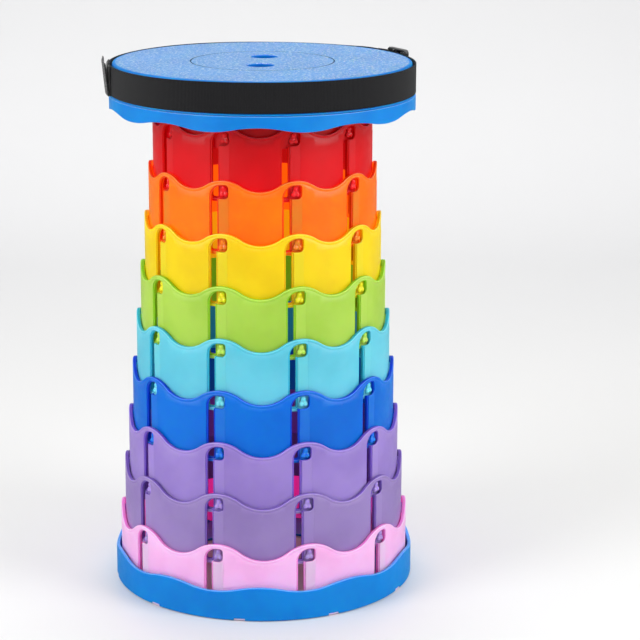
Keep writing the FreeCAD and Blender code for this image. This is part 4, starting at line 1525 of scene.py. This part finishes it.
    def dress(self) -> list[bpy.types.Object]:
        """Puts the seat in the scene."""
        grained = GrainedPlastic("seat_plastic", SHELL_BLUE, roughness=0.4, painted_edge_highlight=0.0).material()
        plain = Plastic("underside_plastic", SHELL_BLUE).material()
        cover = self.build_cover().mesh("seat_cover_shell")
        insert = self.build_insert().mesh("seat_disc")
        for mesh in (cover, insert):
            mesh.materials.append(grained)
            smooth(mesh)
        pieces = [new_piece("seat_cover_shell", cover, "seat", "shell_plastic", "seat_cover"),
                  new_piece("seat_disc", insert, "seat", "shell_plastic", "seat_insert")]
        steel = Metal("screw_steel", (176, 178, 182)).material()
        for name, skin, count, material, slot, *nodes in (
                ("seat_ribs", self.build_rib(), SIZES.columns, plain, "shell_plastic"),
                ("screw_bosses", self.build_boss(), self.bosses, plain, "shell_plastic"),
                ("screws", self.build_screw(), self.bosses, steel, "screw_steel", "collar_screws")):
            mesh = self.finish(name, skin, 0.0, material, count)
            pieces.append(new_piece(name, mesh, "seat", slot, *nodes))
        return pieces


@dataclass(frozen=True)
class Station:
    """One place along webbing: its middle, its direction across and the side it faces."""

    middle: Vector
    across: Vector
    out: Vector
    width: float = SIZES.strap_width


@dataclass
class Webbing:
    """A length of webbing with rounded edges, along a line of stations."""

    name: str
    stations: list[Station]
    thickness: float = SIZES.strap_thickness
    closed: bool = False
    lanes: int = 8

    def section(self, width: float) -> list[Flat]:
        """The section: places across and out."""
        half, thick = width / 2, self.thickness / 2
        bend = min(0.7, thick)
        flat = [-half + bend + (width - 2 * bend) * n / self.lanes for n in range(self.lanes + 1)]
        arc = [math.radians(90 - 30 * n) for n in range(1, 6)]
        side = [(half - bend + bend * math.cos(a), thick * math.sin(a)) for a in arc]
        return ([(x, thick) for x in flat] + side + [(x, -thick) for x in reversed(flat)]
                + [(-x, -y) for x, y in side])

    def mesh(self, material: bpy.types.Material) -> bpy.types.Mesh:
        """Makes the webbing's mesh, with its own length and width as its pattern's measure."""
        points, lengths, stations = [], [0.0], list(self.stations)
        if self.closed:
            stations.append(stations[0])
        for before, after in zip(stations, stations[1:]):
            lengths.append(lengths[-1] + (after.middle - before.middle).length)
        for station in stations:
            points.append([station.middle + station.across * a + station.out * b
                           for a, b in self.section(station.width)])
        count = len(points[0])
        faces = []
        for row in range(0, (len(points) - 1) * count, count):
            for n in range(count):
                after = (n + 1) % count
                faces.append((row + n, row + after, row + count + after, row + count + n))
        if not self.closed:
            last = (len(points) - 1) * count
            faces += [tuple(range(count)), tuple(reversed(range(last, last + count)))]
        mesh = bpy.data.meshes.new(self.name)
        mesh.from_pydata([p * MM for row in points for p in row], [], faces)
        cloth = mesh.uv_layers.new(name="cloth")
        spans = [self.section(station.width) for station in stations]
        for loop in mesh.loops:
            row, n = divmod(loop.vertex_index, count)
            cloth.data[loop.index].uv = (lengths[row] * MM, spans[row][n][0] * MM)
        mesh.materials.append(material)
        smooth(mesh)
        return mesh


def smooth_path(knots: Sequence[Sequence[float]], step: float) -> list[Vector]:
    """A smooth line through knots, cut into even steps.

    Args:
        knots: Places that the line passes.
        step: Distance between the points, about.

    Returns:
        Points along the line.
    """
    places = [Vector(k) for k in knots]
    fine: list[Vector] = []
    for n in range(len(places) - 1):
        a, b = places[max(n - 1, 0)], places[n]
        c, d = places[n + 1], places[min(n + 2, len(places) - 1)]
        for k in range(24):
            t = k / 24
            fine.append(0.5 * ((2 * b) + (c - a) * t + (2 * a - 5 * b + 4 * c - d) * t ** 2
                               + (3 * b - a - 3 * c + d) * t ** 3))
    fine.append(places[-1])
    lengths = [0.0]
    for before, after in zip(fine, fine[1:]):
        lengths.append(lengths[-1] + (after - before).length)
    count = max(2, round(lengths[-1] / step))
    made, at = [], 0
    for n in range(count + 1):
        want = lengths[-1] * n / count
        while at < len(fine) - 2 and lengths[at + 1] < want:
            at += 1
        share = (want - lengths[at]) / max(lengths[at + 1] - lengths[at], 1e-9)
        made.append(fine[at].lerp(fine[at + 1], share))
    return made


def directions(route: Sequence[Vector]) -> Iterable[tuple[Vector, Vector]]:
    """Each point of a line, with the line's direction there."""
    last = len(route) - 1
    for number, spot in enumerate(route):
        yield spot, (route[min(number + 1, last)] - route[max(number - 1, 0)]).normalized()


@dataclass(frozen=True)
class Box:
    """A box with rounded corners, and the rounding of its edges, which is less than 0 for an opening."""

    x: float
    half_x: float
    half_y: float
    corner: float
    bend: float

    def outline(self, inset: float) -> list[Flat]:
        """The outline, drawn in by an inset."""
        a, b, c = self.half_x - inset, self.half_y - inset, max(self.corner - inset, 0.05)
        spots = []
        for right, up, first in ((1, 1, 0), (-1, 1, 90), (-1, -1, 180), (1, -1, 270)):
            for n in range(6):
                turn = math.radians(first + 18 * n)
                spots.append((self.x + right * (a - c) + c * math.cos(turn), up * (b - c) + c * math.sin(turn)))
        return spots


@dataclass
class Adjuster:
    """The strap's adjuster: a flat frame with a middle bar, rounded all over."""

    angle: float = 118.0
    lift: float = 2.2
    depth: float = 4.6
    length: float = 30.0
    height: float = 29.0
    bar: float = 3.4
    rise: float = 2.4
    belly: float = 0.55

    @property
    def middle(self) -> float:
        """Height of the frame's middle."""
        return SIZES.seat_height + self.rise - self.height / 2

    def place(self, x: float, y: float, deep: float) -> Vector:
        """Point of the frame: sideways and up from its middle, and out from its back."""
        out, side = polar(1.0, self.angle, 0.0), polar(1.0, self.angle + 90, 0.0)
        belly = self.belly * (1 - (x / (self.length / 2)) ** 2) * (deep / self.depth)
        reach = SIZES.strap_outside + self.lift + deep - self.belly + belly
        return side * x + out * reach + UP * (self.middle + y)

    def edge(self, skin: Skin, box: Box) -> tuple[list[int], list[int]]:
        """Adds the rows around a box's edge, and returns the front one and the back one."""
        rows: list[list[int]] = []
        turns = [math.radians(a) for a in (90, 60, 30, 0)]
        spots = [(box.bend * (1 - math.cos(a)), abs(box.bend) * (1 - math.sin(a))) for a in turns]
        levels = [(self.depth - drop, inset) for inset, drop in spots]
        levels += [(self.belly + drop, inset) for inset, drop in reversed(spots)]
        for deep, inset in levels:
            rows.append([skin.add(self.place(x, y, deep), None, (x, y)) for x, y in box.outline(inset)])
            if len(rows) > 1:
                skin.bridge(rows[-2], rows[-1], closed=True)
        return rows[0], rows[-1]

    def build(self) -> Skin:
        """Builds the frame with its two openings."""
        skin = Skin()
        half, tall, bar = self.length / 2, self.height / 2, self.bar
        rim = (self.height - SIZES.strap_width) / 2 - SIZES.strap_gap
        opening, middle = (half - bar - bar / 2) / 2, (half - bar + bar / 2) / 2
        frame_edges = self.edge(skin, Box(0.0, half, tall, 3.2, 1.1))
        holes = [self.edge(skin, Box(x, opening, tall - rim, 1.4, -0.8)) for x in (-middle, middle)]
        seeds = seed_grid((-half, -tall), (half, tall), (2.0, 4.0))
        for side, deep in enumerate((self.depth, self.belly)):
            inner = [hole[side] for hole in holes]
            skin.fill(frame_edges[side], inner, seeds, lambda x, y, d=deep: (self.place(x, y, d), None), 0.6)
        return skin


@dataclass
class Strap:
    """The webbing around the seat, with its closure, its adjuster and the carry handle."""

    tail_angle: float = 85.0
    tail_span: float = 20.0
    tail_rise: float = 2.6
    tail_lean: float = 2.6
    band_steps: int = 240
    closure_steps: int = 40
    patch_thickness: float = 1.1
    handle_angle: float = 172.0
    handle_reach: float = 54.0
    handle_bow: float = 25.0
    handle_droop: float = 20.0
    adjuster: Adjuster = field(default_factory=Adjuster)

    @property
    def middle(self) -> float:
        """Height of the webbing's middle."""
        return SIZES.strap_foot + SIZES.strap_width / 2

    def band(self) -> Webbing:
        """The band around the seat, which lies a little unevenly."""
        radius = SIZES.strap_outside - SIZES.strap_thickness / 2
        stations = []
        for number in range(self.band_steps):
            angle = 360 * number / self.band_steps
            turn = math.radians(angle)
            lift = 0.25 * math.sin(turn * 2 + 0.7) + 0.12 * math.sin(turn * 5 + 2.0)
            lift += 0.8 * math.exp(-((angle - 132) / 9) ** 2)
            reach = radius + 0.06 * math.sin(turn * 7) + 0.06
            stations.append(Station(polar(reach, angle, self.middle + lift), UP, polar(1.0, angle, 0.0)))
        return Webbing("strap_webbing", stations, closed=True)

    def closure(self, name: str, start: float, thickness: float, rise: float, lean: float) -> Webbing:
        """A layer of the closure, outside the band."""
        stations = []
        for number in range(self.closure_steps + 1):
            share = number / self.closure_steps
            angle = -self.tail_angle + self.tail_span * (share - 0.5)
            ragged = 0.35 * math.sin(number * 2.9) + 0.3 * math.sin(number * 1.3 + 1)
            width = SIZES.strap_width + rise + ragged * (1 if rise else 0.3)
            out = polar(1.0, angle, 0.0)
            tilt = math.atan2(lean, width)
            across = UP * math.cos(tilt) + out * math.sin(tilt)
            facing = (out - UP * math.sin(tilt)).normalized()
            peel = 1.2 * max(0.0, 1 - share / 0.16) ** 2 if rise else 0.0
            foot = polar(start + thickness / 2 + peel, angle, SIZES.strap_foot)
            stations.append(Station(foot + across * width / 2, across, facing, width))
        return Webbing(name, stations, thickness)

    def bight(self) -> Webbing:
        """The webbing that runs over the adjuster's middle bar.

        Its knots are sideways places and distances from the stool's axis.
        """
        web = SIZES.strap_outside + SIZES.strap_thickness / 2
        low, crown = web + 0.35, web + self.adjuster.lift + self.adjuster.depth + 0.3
        half = [(24, low - 0.05), (17, low), (12.5, low + 0.05), (8.6, low + 1.2), (5.0, crown - 2.6),
                (2.6, crown - 0.5)]
        knots = [(-side, reach, 0.0) for side, reach in half]
        knots += [(0, crown, 0.0), *((side, reach, 0.0) for side, reach in reversed(half))]
        stations = []
        for spot, run in directions(smooth_path(knots, 0.9)):
            angle = self.adjuster.angle + math.degrees(spot.x / 130.0)
            out, side = polar(1.0, angle, 0.0), polar(1.0, angle + 90, 0.0)
            facing = (out * run.x - side * run.y).normalized()
            stations.append(Station(polar(spot.y, angle, self.adjuster.middle), UP, facing))
        return Webbing("adjuster_webbing", stations)

    def handle(self) -> Webbing:
        """The carry handle: a drooping loop whose ends lie on the band.

        Its knots are sideways places and distances from the band, as if it stood out level.
        """
        droop = math.radians(self.handle_droop)
        bow, reach = self.handle_bow - 0.8, self.handle_reach - 3.2
        touch = SIZES.strap_outside + 0.3 + SIZES.strap_thickness / 2
        knots = [(-39, 0.5), (-32, 0.9), (-27.5, 3.4), (-bow - 0.5, 8.5), (-bow, 16), (-bow - 0.6, 26),
                 (-bow * 0.86, 39), (-bow * 0.5, reach - 5), (0, reach), (bow * 0.55, reach - 5.5),
                 (bow * 0.93, 38), (bow + 0.3, 25), (bow - 0.3, 15), (bow + 0.8, 8), (28, 3.2), (33, 0.9),
                 (40, 0.5)]
        out, side = polar(1.0, self.handle_angle, 0.0), polar(1.0, self.handle_angle + 90, 0.0)
        stations = []
        for spot, run in directions(smooth_path([(x, y, 0.0) for x, y in knots], 1.6)):
            free = min(1.0, max(0.0, (spot.y - 3.0) / 16.0))
            free = free * free * (3 - 2 * free)
            slope = math.tan(droop) * free
            place = polar(touch, self.handle_angle + math.degrees(spot.x / touch), 0.0) + out * spot.y
            place.z = self.middle - spot.y * slope - 0.9
            lean = droop * free + 0.16 * free * math.sin(spot.x / 16)
            across = UP * math.cos(lean) + out * math.sin(lean)
            tangent = (side * run.x + out * run.y - UP * (run.y * slope)).normalized()
            facing = across.cross(tangent).normalized()
            across = tangent.cross(facing).normalized()
            stations.append(Station(place, across, facing, SIZES.strap_width - 2.4))
        return Webbing("carry_webbing", stations)

    def dress(self) -> list[bpy.types.Object]:
        """Puts the strap and its fittings in the scene."""
        cloth = Fabric("strap_cloth", (12, 12, 15)).material()
        pile = Fabric("closure_pile", (20, 20, 22), Weave.PILE).material()
        moulded = Plastic("adjuster_plastic", (26, 26, 28), roughness=0.3, translucency=0.0).material()
        start = SIZES.strap_outside + SIZES.strap_gap
        tail_start = start + self.patch_thickness + SIZES.strap_gap
        patch = self.closure("closure_patch", start, self.patch_thickness, 0.0, 0.0)
        tail = self.closure("strap_end", tail_start, SIZES.strap_thickness, self.tail_rise, self.tail_lean)
        glide = self.adjuster.build().mesh("strap_adjuster")
        glide.materials.append(moulded)
        smooth(glide)
        pieces = []
        for webbing, material, slot, node in (
                (self.band(), cloth, "webbing", "strap_band"), (patch, pile, "closure", "hook_patch"),
                (tail, pile, "webbing", "strap_tail"), (self.bight(), cloth, "webbing", "strap_bight"),
                (self.handle(), cloth, "webbing", "carry_handle")):
            pieces.append(new_piece(webbing.name, webbing.mesh(material), "seat", slot, node))
        pieces.append(new_piece("strap_adjuster", glide, "seat", "black_plastic", "tri_glide"))
        return pieces


@dataclass
class Studio:
    """Camera, floor, backdrop and soft lights."""

    lens: float = 122.93
    place: tuple[float, float, float] = (0.0, -1.82665, 0.69459)
    pitch: float = 14.394
    yaw: float = 1.535
    roll: float = 0.2

    def camera(self) -> None:
        """Sets the camera at the photograph's angle."""
        pitch, yaw, roll = (math.radians(a) for a in (self.pitch, self.yaw, self.roll))
        ahead = Vector((math.sin(yaw) * math.cos(pitch), math.cos(yaw) * math.cos(pitch), -math.sin(pitch)))
        right = Vector((math.cos(yaw), -math.sin(yaw), 0.0))
        up = right.cross(ahead)
        side, top = right * math.cos(roll) + up * math.sin(roll), up * math.cos(roll) - right * math.sin(roll)
        data = bpy.data.cameras.new("camera")
        data.lens, data.sensor_width = self.lens, 36.0
        data.clip_start, data.clip_end = 0.05, 30.0
        camera = bpy.data.objects.new("camera", data)
        bpy.context.scene.collection.objects.link(camera)
        turn = Matrix((side, top, -ahead)).transposed()
        camera.matrix_world = Matrix.Translation(self.place) @ turn.to_4x4()
        bpy.context.scene.camera = camera

    @staticmethod
    def lamp(name: str, place: Sequence[float], aim: Sequence[float], size: Flat, power: float,
             seen: bool = True) -> None:
        """Adds one soft box, which may be kept out of sight and out of reflections."""
        data = bpy.data.lights.new(name, "AREA")
        data.shape, data.size, data.size_y, data.energy = "RECTANGLE", size[0], size[1], power
        lamp = bpy.data.objects.new(name, data)
        lamp.visible_camera = lamp.visible_glossy = seen
        bpy.context.scene.collection.objects.link(lamp)
        lamp.location = place
        lamp.rotation_euler = (Vector(aim) - Vector(place)).to_track_quat("-Z", "Y").to_euler()

    @staticmethod
    def floor() -> None:
        """Adds the pale table and the wall behind it as one sweep."""
        bend, start, steps = 0.9, 1.2, 12
        turns = [math.radians(90 * n / steps) for n in range(1, steps + 1)]
        rows = [(-3.0, 0.0), (start, 0.0)]
        rows += [(start + bend * math.sin(a), bend - bend * math.cos(a)) for a in turns]
        rows += [(start + bend, 3.5)]
        mesh = bpy.data.meshes.new("studio_sweep")
        points = [Vector((x, y, z)) for y, z in rows for x in (-3.5, 3.5)]
        mesh.from_pydata(points, [], [(2 * n, 2 * n + 1, 2 * n + 3, 2 * n + 2) for n in range(len(rows) - 1)])
        for face in mesh.polygons:
            face.use_smooth = True
        shader = Shader("studio_table")
        pale = shader.blend(shader.noise(3.0, 2.0), (0.81, 0.81, 0.8, 1.0), (0.83, 0.83, 0.82, 1.0))
        far = shader.ramp(shader.parts(shader.place())["Y"], -0.2, 1.4)
        pale = shader.blend(far, pale, (0.62, 0.62, 0.625, 1.0))
        mirrored = shader.node("ShaderNodeLightPath").outputs["Is Glossy Ray"]
        pale = shader.blend(mirrored, pale, (0.2, 0.2, 0.2, 1.0))
        mesh.materials.append(shader.finish(Base_Color=pale, Roughness=0.35, Specular_IOR_Level=0.3))
        sweep = bpy.data.objects.new("studio_sweep", mesh)
        bpy.context.scene.collection.objects.link(sweep)

    @staticmethod
    def air(world: bpy.types.World) -> None:
        """Lights the air: bright at both sides, darker behind the camera, and evenly pale to look at."""
        graph = Graph(world.node_tree)
        direction = graph.node("ShaderNodeTexCoord").outputs["Generated"]
        side = graph.maths("ABSOLUTE", graph.parts(direction)["X"])
        level, seen = graph.node("ShaderNodeMapRange"), graph.node("ShaderNodeMix")
        for key, value in (("Value", side), ("From Min", 0.25), ("From Max", 0.95), ("To Min", 0.3),
                           ("To Max", 0.9)):
            graph.feed(level.inputs[key], value)
        to_camera = graph.node("ShaderNodeLightPath").outputs["Is Camera Ray"]
        for key, value in (("Factor", to_camera), ("A", level.outputs["Result"]), ("B", 0.86)):
            graph.feed(seen.inputs[key], value)
        background = graph.nodes["Background"].inputs
        graph.feed(background["Color"], (1.0, 1.0, 1.0, 1.0))
        graph.feed(background["Strength"], seen.outputs["Result"])

    def build(self) -> None:
        """Puts the whole studio in the scene."""
        scene = bpy.context.scene
        scene.view_settings.view_transform = "Standard"
        world = bpy.data.worlds.new("studio_air")
        world.use_nodes = True
        self.air(world)
        scene.world = world
        self.camera()
        self.floor()
        self.lamp("left_box", (-1.7, -1.1, 1.3), (0, 0, 0.25), (1.0, 1.6), 27.0)
        self.lamp("right_box", (1.7, -1.0, 1.2), (0, 0, 0.25), (1.0, 1.6), 25.0)
        self.lamp("top_box", (0.0, 0.5, 2.2), (0, 0, 0.3), (1.8, 1.4), 8.0)
        self.lamp("back_box", (0.0, 1.98, 1.1), (0, 0, 0.3), (2.6, 1.0), 36.0, seen=False)
        self.lamp("front_box", (0.0, -2.2, 1.3), (0, 0, 0.2), (2.0, 1.4), 4.0, seen=False)


RING_COLOURS: tuple[Colour, ...] = (
    (218, 4, 18), (255, 119, 0), (236, 206, 14), (170, 207, 80), (104, 200, 221), (0, 111, 212),
    (155, 132, 203), (150, 129, 187), (255, 184, 234))
# Colours of the painted glow on each ring's inside, standing in for daylight that comes through its wall.
PAINTED_GLOW_COLOURS: tuple[Colour, ...] = (
    (150, 5, 15), (250, 105, 10), (220, 148, 10), (70, 124, 10), (6, 72, 86), (0, 46, 86), (52, 15, 68),
    (24, 8, 30), (178, 10, 98))


def main() -> None:
    """Builds the stool from the floor up, then the studio around it."""
    logging.basicConfig(level=logging.INFO, format="%(name)s: %(message)s")
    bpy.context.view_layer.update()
    FootRing().dress()
    for number, (colour, through) in enumerate(zip(RING_COLOURS, PAINTED_GLOW_COLOURS)):
        Ring(number, colour, through).dress()
    Collar(RING_COLOURS[0]).dress()
    Skirt().dress()
    Seat().dress()
    Strap().dress()
    Studio().build()


if __name__ == "__main__":
    main()
